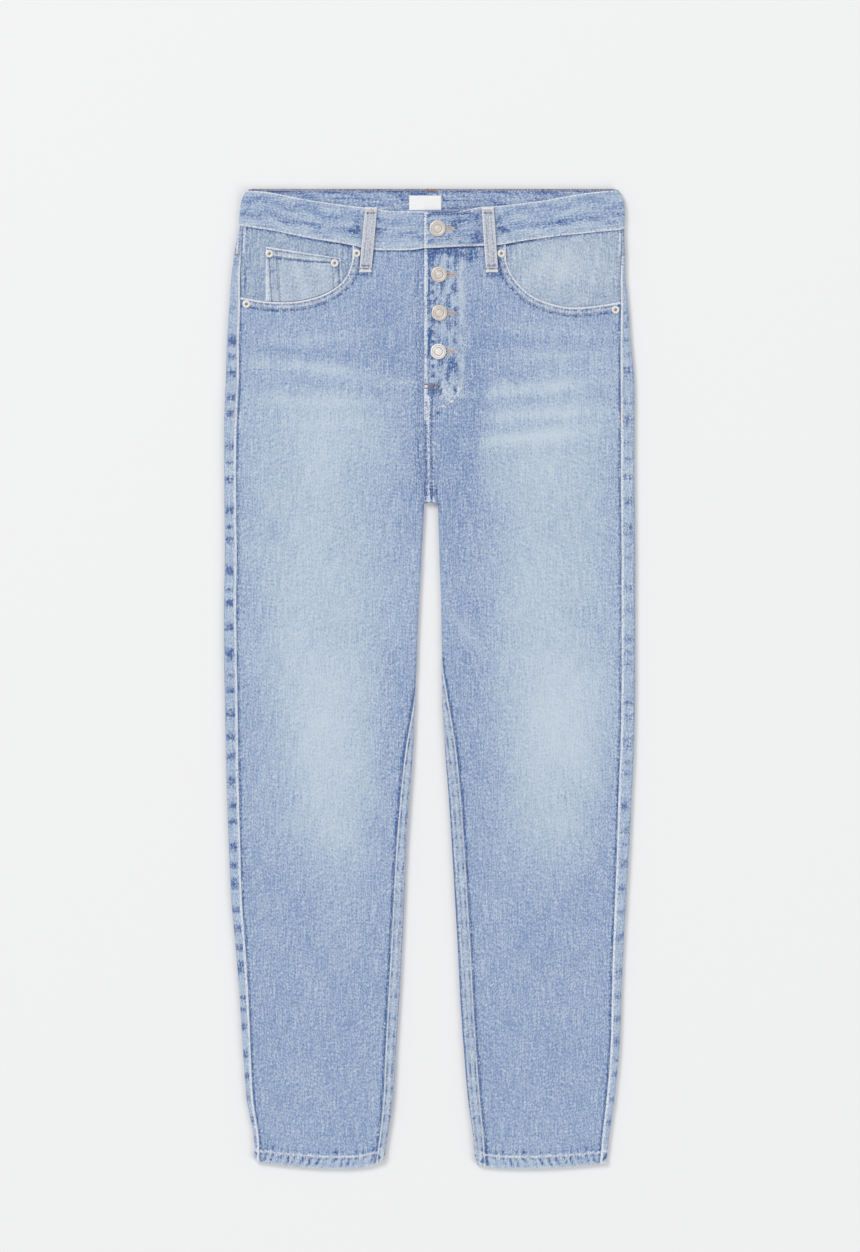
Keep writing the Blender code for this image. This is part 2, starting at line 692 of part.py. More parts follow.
def back_loop(name, x, top):
    """A belt loop under the laid back, pressed flat on the floor."""
    half = LOOP_WIDTH / 2
    y = np.linspace(BACK_LOOP_LOW, top, 4)
    outer = np.array([[(x - half, h, 0.0), (x, h, 0.0), (x + half, h, 0.0)] for h in y])
    inner = outer + np.array([0.0, 0.0, LOOP_WALL])
    return wall(name, outer, inner, LOOP_GREY)


# Half outline of a back pocket, from its own top centre down to the point
BACK_POCKET = table(
    "half_width drop",
    [
        (69, 0),
        (68, 30),
        (66, 70),
        (63, 110),
        (60, 124),
        (48, 134),
        (20, 147),
        (0, 152),
    ],
)


def back_pocket(side):
    """A plain five-cornered patch pocket under the laid back."""
    middle, top, tilt = 113.0, 926.0, math.radians(2.0) * SIGN[side]
    half = np.stack([BACK_POCKET["half_width"], -BACK_POCKET["drop"]], axis=1)
    outline = np.concatenate([half, half[-2::-1] * np.array([-1.0, 1.0])])
    tilted = outline @ np.array([[math.cos(tilt), math.sin(tilt)], [-math.sin(tilt), math.cos(tilt)]])
    places = tilted + np.array([SIGN[side] * middle, top])
    made = bmesh.new()
    corners = [made.verts.new((x * MM, y * MM, 0.0)) for x, y in places]
    made.faces.new(corners)
    grown = bmesh.ops.extrude_face_region(made, geom=list(made.faces))
    raised = [v for v in grown["geom"] if isinstance(v, bmesh.types.BMVert)]
    bmesh.ops.translate(made, verts=raised, vec=(0, 0, DENIM * MM))
    mesh = bpy.data.meshes.new("back_pocket_" + side)
    made.to_mesh(mesh)
    made.free()
    return finish("back_pocket_" + side, mesh, DENIM_BLUE, 0.85, 0.0)


def turned(name, profile, x, y, z, steps, colour):
    """A round metal piece spun from its profile of (radius, rise), closed at both ends on the axis."""
    made = bmesh.new()
    points = [made.verts.new((r * MM, 0.0, h * MM)) for r, h in zip(profile["radius"], profile["rise"])]
    edges = [made.edges.new(pair) for pair in zip(points, points[1:])]
    round_axis = {"cent": (0, 0, 0), "axis": (0, 0, 1), "angle": 2 * math.pi}
    bmesh.ops.spin(made, geom=points + edges, steps=steps, use_merge=True, **round_axis)
    bmesh.ops.remove_doubles(made, verts=made.verts, dist=1e-6)
    mesh = bpy.data.meshes.new(name)
    made.to_mesh(mesh)
    made.free()
    piece = finish(name, mesh, colour, 0.32, 1.0, 30)
    piece.location = (x * MM, y * MM, z * MM)
    return piece


# Buttons: places of the centres, heads' radius; the posts reach down through the lapped cloth
BUTTONS = table(
    "x y head hole_low hole_high",
    [
        (8.6, 1014.0, 8.6, 7.0, 12.0),
        (10.0, 964.5, 8.4, 5.2, 9.0),
        (10.5, 923.0, 8.4, 5.2, 9.0),
        (9.4, 881.4, 8.4, 5.2, 9.0),
    ],
)
BUTTON_NAMES = ("button_waist", "button_fly_upper", "button_fly_middle", "button_fly_lower")
POST_RADIUS, HOLE_RADIUS = 2.1, 3.0


def button(row, seat, lapped):
    """A tack button standing on the under layer, its head clear of the lapped layer."""
    x, y, head = (BUTTONS[key][row] for key in ("x", "y", "head"))
    under = top_of([seat], x, y) if seat else BAND_HEIGHT["right"]["rise"][0]
    foot = under + CLEAR
    rest = top_of([lapped], x, y, head) + CLEAR
    post = rest - foot
    profile = table(
        "radius rise",
        [
            (0, 0),
            (POST_RADIUS, 0),
            (POST_RADIUS, post),
            (0.80 * head, post),
            (head, post + 0.8),
            (0.96 * head, post + 2.3),
            (0.80 * head, post + 2.6),
            (0.72 * head, post + 2.1),
            (0.50 * head, post + 2.1),
            (0.42 * head, post + 2.6),
            (0, post + 2.4),
        ],
    )
    return turned(BUTTON_NAMES[row], profile, x, y, foot, 16, BUTTON_METAL)


def button_hole(row, target):
    """The hole in the lapped layer that a button's post passes through."""
    low, high = BUTTONS["hole_low"][row], BUTTONS["hole_high"][row]
    radius = HOLE_RADIUS * MM
    made = bmesh.new()
    bmesh.ops.create_cone(
        made, cap_ends=True, segments=12, radius1=radius, radius2=radius, depth=(high - low) * MM
    )
    mesh = bpy.data.meshes.new("cutter_" + BUTTON_NAMES[row])
    made.to_mesh(mesh)
    made.free()
    cutter = bpy.data.objects.new(mesh.name, mesh)
    bpy.context.scene.collection.objects.link(cutter)
    cutter.parent = LAID
    cutter.location = (BUTTONS["x"][row] * MM, BUTTONS["y"][row] * MM, (low + high) / 2 * MM)
    cutter.hide_render = True
    cutter.display_type = "WIRE"
    cut = target.modifiers.new("hole_" + BUTTON_NAMES[row], "BOOLEAN")
    cut.operation = "DIFFERENCE"
    cut.object = cutter


# Rivets: places of the centres and radii
RIVETS = table(
    "x y radius",
    [
        (-172.8, 986.8, 4.3),
        (-102.4, 976.8, 4.3),
        (-78.7, 987.4, 4.0),
        (-197.6, 932.6, 4.0),
        (77.4, 987.2, 4.2),
        (200.6, 926.4, 4.0),
    ],
)
RIVET_NAMES = (
    "rivet_coin_outer",
    "rivet_coin_inner",
    "rivet_right_waist",
    "rivet_right_side",
    "rivet_left_waist",
    "rivet_left_side",
)


def rivet(row, under):
    """A rivet cap seated on the cloth, with a raised rim round a low nub."""
    x, y, radius = (RIVETS[key][row] for key in ("x", "y", "radius"))
    profile = table(
        "radius rise",
        [
            (0, 0),
            (0.92 * radius, 0),
            (radius, 0.5),
            (0.86 * radius, 1.3),
            (0.58 * radius, 1.5),
            (0.42 * radius, 0.9),
            (0, 1.3),
        ],
    )
    seat = top_of([under], x, y, radius) + CLEAR
    return turned(RIVET_NAMES[row], profile, x, y, seat, 12, RIVET_METAL)


# The label on the inside of the back waistband: its sides, lower and upper edges, and thickness
LABEL = {"left": -22.0, "right": 12.6, "low": 1034.0, "high": 1049.8, "wall": 0.8}


def waist_label(band):
    """The bare label, just clear of the front band's edge."""
    x = np.linspace(LABEL["left"], LABEL["right"], 4)
    outer, inner = [], []
    for y in (LABEL["low"], LABEL["high"]):
        rise = top_of([band], x.mean(), y) + CLEAR
        outer.append([(place, y, rise + LABEL["wall"]) for place in x])
        inner.append([(place, y, rise) for place in x])
    return wall("waist_label", np.array(outer), np.array(inner), LABEL_WHITE, 0.7)


def centre_on_floor():
    """Puts the middle of the laid garment's box over the origin, resting at zero."""
    bpy.context.view_layer.update()
    shown = [o for o in bpy.data.objects if o.type == "MESH" and not o.hide_render]
    corners = np.array([o.matrix_world @ v.co for o in shown for v in o.data.vertices])
    low, high = corners.min(axis=0), corners.max(axis=0)
    LAID.location = (-(low[0] + high[0]) / 2, -(low[1] + high[1]) / 2, -low[2])


def build():
    fronts = {side: front_panel(side) for side in SIGN}
    for side in SIGN:
        back_panel(side)
        yoke(side)
        back_pocket(side)
    facings = {side: pocket_facing(side) for side in SIGN}
    coin = coin_pocket(facings["right"])
    stand = button_stand()
    band = waistband()
    waist_label(band)
    front_loop(0, [band, fronts["right"]])
    front_loop(1, [band, fronts["left"]])
    back_loop("belt_loop_back_right", -130.0, BACK_TOP + 0.4)
    back_loop("belt_loop_back_left", 130.0, BACK_TOP + 0.4)
    back_loop("belt_loop_back_centre", 1.1, BACK_TOP + 1.3)
    add_fastenings(band, fronts, stand, coin)
    centre_on_floor()


def add_fastenings(band, fronts, stand, coin):
    """Buttons with their holes, and the rivets."""
    for row in range(len(BUTTON_NAMES)):
        lapped = band if row == 0 else fronts["left"]
        button(row, None if row == 0 else stand, lapped)
        button_hole(row, lapped)
    seats = (coin, coin, fronts["right"], fronts["right"], fronts["left"], fronts["left"])
    for row, seat in enumerate(seats):
        rivet(row, seat)


for old in list(bpy.data.objects):
    bpy.data.objects.remove(old, do_unlink=True)
LAID = bpy.data.objects.new("laid_garment", None)
bpy.context.scene.collection.objects.link(LAID)
TREES = {}
build()
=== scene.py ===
"""Boyfriend jeans laid flat: cloth shells, sewing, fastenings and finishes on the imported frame.

Sizes are in millimetres on the garment as it lies. "out" is the distance from the centre line towards
a side, "height" the distance above the hem, and "along" follows the cloth round its folded edges.
Each finished mesh is in metres, in the frame's own place.
"""

import logging
import math
from dataclasses import dataclass, field
from enum import Enum
from typing import Callable, Sequence

import bmesh
import bpy
import numpy as np
from mathutils import Matrix, Vector
from mathutils.bvhtree import BVHTree


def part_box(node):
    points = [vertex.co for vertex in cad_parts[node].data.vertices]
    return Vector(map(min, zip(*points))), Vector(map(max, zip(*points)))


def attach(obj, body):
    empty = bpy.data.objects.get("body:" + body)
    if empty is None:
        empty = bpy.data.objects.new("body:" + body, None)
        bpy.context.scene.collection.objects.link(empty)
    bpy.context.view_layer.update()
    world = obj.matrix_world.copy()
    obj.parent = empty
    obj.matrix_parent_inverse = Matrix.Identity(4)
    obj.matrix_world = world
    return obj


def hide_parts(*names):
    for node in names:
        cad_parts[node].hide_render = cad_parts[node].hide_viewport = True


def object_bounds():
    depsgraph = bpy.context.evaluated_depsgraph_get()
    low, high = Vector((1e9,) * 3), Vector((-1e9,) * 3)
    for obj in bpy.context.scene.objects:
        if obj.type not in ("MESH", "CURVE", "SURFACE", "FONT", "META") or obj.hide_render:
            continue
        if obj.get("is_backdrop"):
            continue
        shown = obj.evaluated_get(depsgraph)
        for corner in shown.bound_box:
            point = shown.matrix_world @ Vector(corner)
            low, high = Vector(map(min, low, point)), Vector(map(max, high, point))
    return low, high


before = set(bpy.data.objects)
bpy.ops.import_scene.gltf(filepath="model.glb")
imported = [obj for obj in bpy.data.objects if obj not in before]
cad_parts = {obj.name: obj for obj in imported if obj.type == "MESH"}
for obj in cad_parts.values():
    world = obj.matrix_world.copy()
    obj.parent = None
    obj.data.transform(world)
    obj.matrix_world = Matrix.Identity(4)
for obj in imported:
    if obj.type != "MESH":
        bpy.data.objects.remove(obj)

LOG = logging.getLogger("jeans")
Grid = np.ndarray
Row = dict[str, np.ndarray]

MM = 0.001
UP = np.array([0.0, 0.0, 1.0])

# Thickness of each cloth, and the gaps between pieces
DENIM = 1.2
HEM_FOLD = 2.3
HEM_HEIGHT = 12.6
BAND_WALL = 2.2
FACING_WALL = 1.0
STAND_WALL = 1.4
LOOP_WALL = 1.6
SEAM_GAP = 0.15
CLEAR = 0.35

# Radii of the folded edges, and the levels at which the laid cloth and its layers lie
FOLD_RADIUS = 3.1
HALF_BEND = FOLD_RADIUS * math.pi / 2 - FOLD_RADIUS
BAND_FOLD_RADIUS = 3.5
SEAT_HEIGHT = 6.2
LEG_HEIGHT = 4.7
HEM_STACK = 5.8
POCKET_LIFT = 1.5
LOOP_LIFT = 1.9
UNDERSIDE = 0.3
CLOTH_FLOOR = 0.05
THREAD_FLOOR = -0.2
FLY_HEIGHT = {-1: 4.9, 1: 6.6}

# Lengths over which the cloth's level changes, across it and up it
EDGE_EASE = 24
FLY_EASE = 54
BACK_EASE = 14
SEAT_FROM, SEAT_RUN = 716, 32
WAIST_FROM, WAIST_RUN = 950, 30

# Heights of the seams and edges, and the fly's edge across
CROTCH = 718.2
HIP_LINE = 905.0
BACK_SEAM = 1015.5
BACK_TOP = 1056.6
YOKE_AT_CENTRE = 946.0
YOKE_AT_SIDE = 975.0
FLY_END = 832.0
FRONT_EDGE_OF_FLY = -5.9
HEM_TOP = 26
HEM_STITCHES = 12.0
HIP_TOP = 986.0

# How far out the fly's two rows of stitches run
FLY_ROWS = (31.6, 37.4)

# Lengths of the hem's slanted waves, and of the felled inside seam's puckers
HEM_WAVE = 8.4
FELL_WAVE = 5.4


class Side(Enum):
    """The wearer's side. The value is the sign of x."""

    RIGHT = -1
    LEFT = 1


class Face(Enum):
    """Which side of the laid tube a piece is counted from."""

    FRONT = 0
    BACK = 1


def table(columns: str, rows: Sequence[Sequence[float]]) -> Row:
    """Names the columns of a short table.

    Args:
        columns: the names, parted by spaces.
        rows: the rows of numbers.

    Returns:
        Each column by its name.
    """
    return dict(zip(columns.split(), np.array(rows, float).T))


OUTER_FOLDS = table(
    "height right_edge right_seam left_edge left_seam",
    [
        (0, 188.5, 7.0, 191.0, 9.2), (30, 189.8, 7.5, 193.9, 9.7), (73, 197.1, 9.0, 199.3, 10.6),
        (127, 201.4, 10.5, 204.7, 11.6), (181, 204.7, 11.5, 206.8, 12.3), (235, 209.0, 12.6, 209.0, 13.2),
        (289, 214.0, 13.6, 212.2, 14.2), (343, 216.5, 14.4, 215.5, 15.4), (397, 218.5, 15.0, 217.9, 16.3),
        (451, 220.0, 15.4, 220.6, 16.8), (505, 221.0, 15.8, 221.7, 16.8), (559, 221.9, 15.8, 221.9, 16.8),
        (613, 221.9, 15.4, 221.9, 16.8), (667, 221.0, 15.0, 221.9, 16.8), (721, 221.5, 14.8, 221.4, 16.8),
        (765, 221.9, 15.2, 221.2, 16.8), (808, 221.7, 15.8, 221.2, 16.8), (851, 220.0, 16.3, 220.8, 16.6),
        (894, 218.6, 15.0, 217.0, 13.0), (937, 215.6, 13.3, 213.8, 9.4), (959, 214.2, 11.6, 211.6, 7.6),
        (987, 210.8, 9.6, 211.0, 5.6), (1013, 206.3, 6.6, 210.2, 4.4), (1032, 204.5, 6.0, 210.4, 4.4),
        (1045, 202.5, 6.0, 209.0, 4.4), (1057, 197.3, 6.0, 203.6, 4.4),
    ],
)

INNER_FOLDS = table(
    "height right_edge right_seam left_edge left_seam",
    [
        (0, 48.8, 10.8, 49.5, 12.8), (30, 44.8, 11.0, 47.2, 13.3), (73, 39.6, 12.2, 41.8, 14.6),
        (127, 36.2, 13.2, 37.0, 15.4), (181, 32.9, 13.8, 33.2, 15.8), (235, 30.0, 13.7, 30.6, 15.7),
        (289, 27.5, 13.3, 27.5, 15.5), (343, 25.2, 12.7, 24.4, 15.3), (397, 21.9, 11.8, 20.9, 15.1),
        (451, 18.2, 9.6, 16.8, 13.8), (505, 15.7, 2.5, 14.0, 8.0), (559, 13.5, -5.5, 13.3, -0.8),
        (613, 11.3, -11.5, 12.4, -8.0), (667, 8.3, -9.5, 10.5, -9.5), (700, 6.6, -3.5, 9.6, -3.5),
        (718, 5.9, 0.0, 9.2, 0.0),
    ],
)

WAIST = {
    Side.RIGHT: table(
        "out seam top",
        [
            (-31, 995.0, 1030.2), (-5, 993.2, 1031.6), (6, 992.8, 1032.4), (14, 991.4, 1032.6),
            (42, 990.4, 1033.2), (57, 990.6, 1035.0), (71, 992.8, 1036.9), (86, 996.2, 1038.6),
            (105, 999.6, 1041.1), (129, 1003.3, 1044.6), (150, 1007.6, 1048.6), (172, 1012.0, 1053.0),
            (206, 1016.6, 1055.6),
        ],
    ),
    Side.LEFT: table(
        "out seam top",
        [
            (-6, 992.4, 1031.3), (35, 994.4, 1033.2), (56, 995.1, 1037.2), (72, 995.8, 1038.2),
            (96, 999.7, 1040.9), (123, 1003.8, 1044.4), (156, 1007.4, 1050.4), (186, 1010.6, 1054.2),
            (211, 1012.6, 1055.9),
        ],
    ),
}

SCOOP = {
    Side.RIGHT: table(
        "out height",
        [
            (83.2, 996.0), (83.6, 980.0), (92.0, 959.2), (113.0, 943.8), (143.0, 935.6), (176.0, 935.4),
            (204.0, 940.0),
        ],
    ),
    Side.LEFT: table(
        "out height",
        [
            (82.0, 997.6), (83.0, 978.0), (93.0, 957.8), (114.0, 939.6), (147.0, 929.4), (177.0, 930.4),
            (206.0, 935.0),
        ],
    ),
}

# Soft folds of the laid front between two points: ridges (+) and troughs (-)
FRONT_FOLDS = table(
    "side out_a height_a out_b height_b width rise",
    [
        (-1, 184, 884, 20, 902, 13, 0.45), (-1, 178, 842, 24, 852, 14, 0.40),
        (1, 36, 848, 190, 856, 13, 0.45), (1, 40, 786, 188, 778, 15, 0.40),
        (-1, 120, 690, 112, 440, 34, 0.90), (1, 116, 690, 118, 450, 34, 0.90),
        (1, 22, 598, 54, 556, 9, -0.55), (-1, 48, 420, 190, 396, 20, 0.55),
        (1, 46, 404, 186, 430, 20, 0.55), (-1, 150, 330, 92, 90, 26, 0.70),
        (1, 96, 330, 150, 100, 26, 0.70), (-1, 196, 868, 96, 878, 5, -0.32),
        (-1, 120, 858, 16, 876, 5, -0.30), (-1, 186, 826, 60, 834, 6, -0.26),
        (1, 30, 872, 120, 868, 5, -0.30), (1, 90, 836, 196, 846, 6, -0.30),
        (1, 30, 820, 110, 806, 5, -0.26), (-1, 14, 742, 78, 690, 6, -0.34),
        (-1, 20, 768, 110, 748, 7, 0.30), (1, 18, 744, 84, 704, 6, -0.36), (1, 24, 772, 120, 760, 7, 0.28),
        (1, 26, 606, 70, 548, 4, 0.40), (-1, 30, 560, 80, 520, 8, -0.30), (-1, 60, 392, 170, 372, 8, -0.30),
        (1, 70, 446, 180, 462, 8, -0.28), (1, 60, 372, 150, 356, 9, -0.30),
        (-1, 160, 470, 90, 452, 9, -0.24), (-1, 174, 250, 120, 236, 9, -0.24),
        (1, 60, 190, 130, 214, 9, -0.26), (-1, 60, 150, 120, 168, 8, 0.24), (1, 150, 92, 190, 76, 7, 0.26),
    ],
)

# Deep blue on the waistband: indigo round the waist button and in the band's wrinkles, and painted shade
# beside the two front loops and along the band's top edge next to the fly
BAND_BLOTCHES = table(
    "x height across up deep",
    [
        (-83, 1012, 7, 3.2, 1.2), (-79, 1015, 3.2, 12, 0.8), (-78, 1028, 2.4, 6, 0.5),
        (-55, 1011.5, 7, 3.8, 1.2), (-60, 1020, 2.8, 12, 0.8), (-40, 1010, 14, 2.2, 0.4),
        (-3, 1028, 4, 3.0, 1.0), (-2, 1018, 2.4, 8, 0.5), (24, 1030.4, 24, 1.7, 1.3),
        (2, 1001, 5, 3.0, 0.8), (30, 1022, 9, 4, 0.7), (27, 1014, 5, 6, 0.8), (22, 1001, 4, 7, 0.7),
        (33, 1001, 4, 6, 0.6), (52, 1008, 6, 11, 1.0), (51, 1027, 6, 5, 0.9), (47, 998, 10, 3, 0.6),
        (80, 1012.5, 9, 3.4, 1.0), (76, 1020, 3, 10, 0.6), (112, 1016.6, 16, 1.8, 0.6),
        (137, 1020.6, 20, 2.0, 0.8), (168, 1024.4, 20, 1.8, 0.6), (201, 1028.6, 10, 2.8, 0.7),
        (-200, 1031, 9, 3.0, 0.7), (-176, 1027, 14, 1.8, 0.6), (-150, 1021.6, 18, 2.0, 0.6),
        (-126, 1017.4, 18, 1.8, 0.6), (-104, 1015, 14, 1.5, 0.6),
    ],
)

# Like folds of the hidden side, shallower because it rests flat
BACK_FOLDS = table(
    "side out_a height_a out_b height_b width rise",
    [
        (-1, 30, 700, 110, 726, 7, -0.30), (-1, 26, 676, 96, 664, 7, -0.26),
        (1, 28, 704, 116, 716, 7, -0.30), (1, 30, 660, 90, 640, 7, -0.24),
        (-1, 60, 430, 180, 418, 10, -0.30), (1, 64, 446, 176, 424, 10, -0.28),
        (-1, 70, 380, 160, 392, 8, -0.24), (1, 80, 366, 170, 384, 9, -0.26),
    ],
)

# Washed-out (+fade), dark blue (deep) and rubbed (worn) places: x across the garment, height up it. The dark
# blue is indigo, but in the last four rows it is painted shadow of the front belt loops
WASH_AND_SHADE = table(
    "x height across up tilt fade deep worn",
    [
        (-122, 620, 82, 205, 2, 0.54, 0, 0), (-106, 420, 54, 120, 4, 0.46, 0, 0),
        (-118, 800, 94, 66, 0, 0.29, 0, 0), (126, 620, 76, 205, -2, 0.50, 0, 0),
        (142, 445, 54, 115, -8, 0.50, 0, 0), (118, 790, 84, 66, 0, 0.32, 0, 0),
        (180, 860, 60, 60, 0, 0.12, 0, 0), (-122, 895, 66, 5, 2, 0.20, 0, 0),
        (-60, 905, 44, 5, 9, 0.12, 0, 0), (-150, 867, 70, 6, -4, 0.24, 0, 0.03),
        (-86, 858, 56, 6, -9, 0.22, 0, 0.03), (-42, 846, 34, 6, 4, 0.24, 0, 0.03),
        (-112, 828, 80, 7, -2, 0.22, 0, 0.03), (-96, 806, 60, 6, 3, 0.10, 0, 0),
        (-140, 880, 60, 5, -4, -0.16, 0, 0), (-84, 842, 60, 4, -5, -0.12, 0, 0),
        (-120, 848, 60, 4, -2, -0.10, 0, 0), (-60, 880, 50, 5, 4, -0.10, 0, 0),
        (108, 906, 76, 5, -5, 0.18, 0, 0), (116, 876, 80, 5, 3, 0.16, 0, 0),
        (112, 842, 76, 6, 6, 0.32, 0, 0.05), (120, 814, 76, 5, 3, 0.20, 0, 0.03),
        (100, 788, 62, 6, 6, 0.32, 0, 0.05), (150, 862, 50, 5, 8, 0.12, 0, 0),
        (110, 891, 76, 5, -1, -0.14, 0, 0), (110, 858, 76, 5, 5, -0.16, 0, 0),
        (112, 828, 70, 5, 4, -0.14, 0, 0), (106, 802, 64, 5, 4, -0.14, 0, 0),
        (108, 771, 70, 6, 5, -0.10, 0, 0), (52, 830, 12, 60, 0, -0.20, 0.12, 0),
        (38, 580, 24, 4, -54, 0.34, 0, 0), (-40, 884, 26, 60, 0, -0.16, 0.10, 0),
        (50, 900, 22, 60, 0, -0.14, 0.12, 0), (28, 790, 24, 70, 0, -0.16, 0.14, 0),
        (-20, 760, 16, 60, 0, -0.10, 0.12, 0), (36, 690, 26, 90, 0, -0.12, 0.10, 0),
        (-40, 470, 26, 110, 0, -0.10, 0.12, 0), (44, 500, 26, 120, 0, -0.10, 0.12, 0),
        # The last four rows are painted shadow: under the front loops' lower ends and along one long side of
        # each
        (-69.6, 964.6, 8.6, 2.6, 0, 0, 0.95, 0), (68.2, 964.4, 8.8, 2.8, 0, 0, 1.0, 0),
        (76.4, 972, 2.2, 13, 4, 0, 0.7, 0), (-61.6, 980, 2.2, 13, 4, 0, 0.6, 0),
    ],
)


def smooth(share: Grid) -> Grid:
    """Eases a share between 0 and 1."""
    share = np.clip(share, 0.0, 1.0)
    return share * share * (3 - 2 * share)


def bell(distance: Grid, width: float) -> Grid:
    """A soft bump, 1 at no distance."""
    return np.exp(-((distance / width) ** 2))


def follow(points: Grid, values: Grid, at: Grid) -> Grid:
    """Reads a smooth curve through a table's points.

    Args:
        points: rising places of the table.
        values: what the table says there.
        at: where to read.

    Returns:
        The curve's values.
    """
    slopes = np.gradient(values, points)
    at = np.clip(at, points[0], points[-1])
    i = np.clip(np.searchsorted(points, at) - 1, 0, len(points) - 2)
    step = points[i + 1] - points[i]
    t = (at - points[i]) / step
    ends = (1 + 2 * t) * (1 - t) ** 2 * values[i] + t * t * (3 - 2 * t) * values[i + 1]
    return ends + step * (t * (1 - t) ** 2 * slopes[i] + t * t * (t - 1) * slopes[i + 1])


def travelled(path: Grid) -> Grid:
    """The length run up to each point of a path."""
    return np.concatenate([[0], np.cumsum(np.linalg.norm(np.diff(path, axis=0), axis=1))])


def unit(vectors: Grid) -> Grid:
    """Brings each row to a length of 1."""
    return vectors / np.maximum(np.linalg.norm(vectors, axis=1), 1e-9)[:, None]


def away_from(path: Grid) -> Grid:
    """The direction away from a pocket's mouth at each (out, height) pair of its edge."""
    run = np.gradient(path, axis=0)
    return np.stack([run[:, 1], -run[:, 0]], axis=1) / np.linalg.norm(run, axis=1)[:, None]


def curve(points: Row, shares: Sequence[float]) -> Grid:
    """Resamples a smooth curve.

    Args:
        points: a table of out and height.
        shares: shares of the curve's length.

    Returns:
        An (out, height) pair for each share.
    """
    knots = np.arange(len(points["out"]), dtype=float)
    fine = np.linspace(0, knots[-1], 40 * len(knots))
    path = np.stack([follow(knots, points[key], fine) for key in ("out", "height")], axis=1)
    length = travelled(path)
    at = np.asarray(shares) * length[-1]
    return np.stack([np.interp(at, length, path[:, k]) for k in (0, 1)], axis=1)


def graded(first: float, last: float, steps: int, tight: float = 0.55) -> Grid:
    """Places between two ends, closer together near both.

    Args:
        first: the first place.
        last: the last place.
        steps: how many steps lie between.
        tight: 0 for even steps, towards 1 for close ones at the ends.

    Returns:
        steps + 1 places.
    """
    share = np.linspace(0, 1, steps + 1)
    share = share - tight * np.sin(2 * math.pi * share) / (2 * math.pi)
    return first + share * (last - first)


@dataclass(frozen=True)
class Ripple:
    """An uneven soft ripple made of waves in many directions, the same each run."""

    seed: int
    across: float
    up: float
    waves: int = 14

    def __call__(self, along: Grid, height: Grid) -> Grid:
        """Reads the ripple, from about -1 to 1.

        Args:
            along: places across the cloth.
            height: places up the cloth.

        Returns:
            The ripple there.
        """
        draw = np.random.default_rng(self.seed)
        total = np.zeros(np.broadcast(along, height).shape)
        for _ in range(self.waves):
            angle, stretch, phase = draw.uniform(0, math.pi), draw.uniform(0.6, 1.7), draw.uniform(0, 6.3)
            turn = math.cos(angle) * along / self.across + math.sin(angle) * height / self.up
            total = total + np.sin(2 * math.pi * stretch * turn + phase)
        return total / math.sqrt(self.waves)


BROAD = Ripple(3, 70, 110)
SOFT = Ripple(5, 26, 34)
FINE = Ripple(8, 9, 11)
PUCKER = Ripple(13, 7, 8)


def creases(rows: Row, side: Side, out: Grid, height: Grid) -> Grid:
    """Adds up the listed folds.

    Args:
        rows: a table of folds.
        side: the side whose folds are meant.
        out: places across.
        height: places up.

    Returns:
        The rise there, in millimetres.
    """
    rise = np.zeros(np.broadcast(out, height).shape)
    for i in np.flatnonzero(rows["side"] == side.value):
        start = np.array([rows["out_a"][i], rows["height_a"][i]])
        run = np.array([rows["out_b"][i], rows["height_b"][i]]) - start
        share = ((out - start[0]) * run[0] + (height - start[1]) * run[1]) / (run @ run)
        near = np.clip(share, 0, 1)
        away = np.hypot(out - start[0] - near * run[0], height - start[1] - near * run[1])
        rise = rise + rows["rise"][i] * bell(away, rows["width"][i]) * np.sin(math.pi * (0.1 + 0.8 * near))
    return rise


def wash_and_loop_shade(x: Grid, height: Grid, base: tuple[float, float, float] = (0.14, 0.0, 0.0)) -> Grid:
    """Paints the wash of the front, with painted shadow beside the two front belt loops.

    Args:
        x: places across the whole garment.
        height: places up it.
        base: fade, indigo and rubbing of the plain cloth.

    Returns:
        Fade, indigo with painted shadow, and rubbing at each place.
    """
    dye = np.zeros((*np.broadcast(x, height).shape, 3)) + np.array(base)
    for i, tilt in enumerate(np.radians(WASH_AND_SHADE["tilt"])):
        dx, dy = x - WASH_AND_SHADE["x"][i], height - WASH_AND_SHADE["height"][i]
        u = (dx * math.cos(tilt) + dy * math.sin(tilt)) / WASH_AND_SHADE["across"][i]
        v = (dy * math.cos(tilt) - dx * math.sin(tilt)) / WASH_AND_SHADE["up"][i]
        spot = np.exp(-((u * u + v * v) ** 1.15))
        for k, key in enumerate(("fade", "deep", "worn")):
            dye[..., k] += WASH_AND_SHADE[key][i] * spot
    dye[..., 0] += 0.05 * BROAD(x, height) + 0.03 * SOFT(x + 40, height)
    return dye


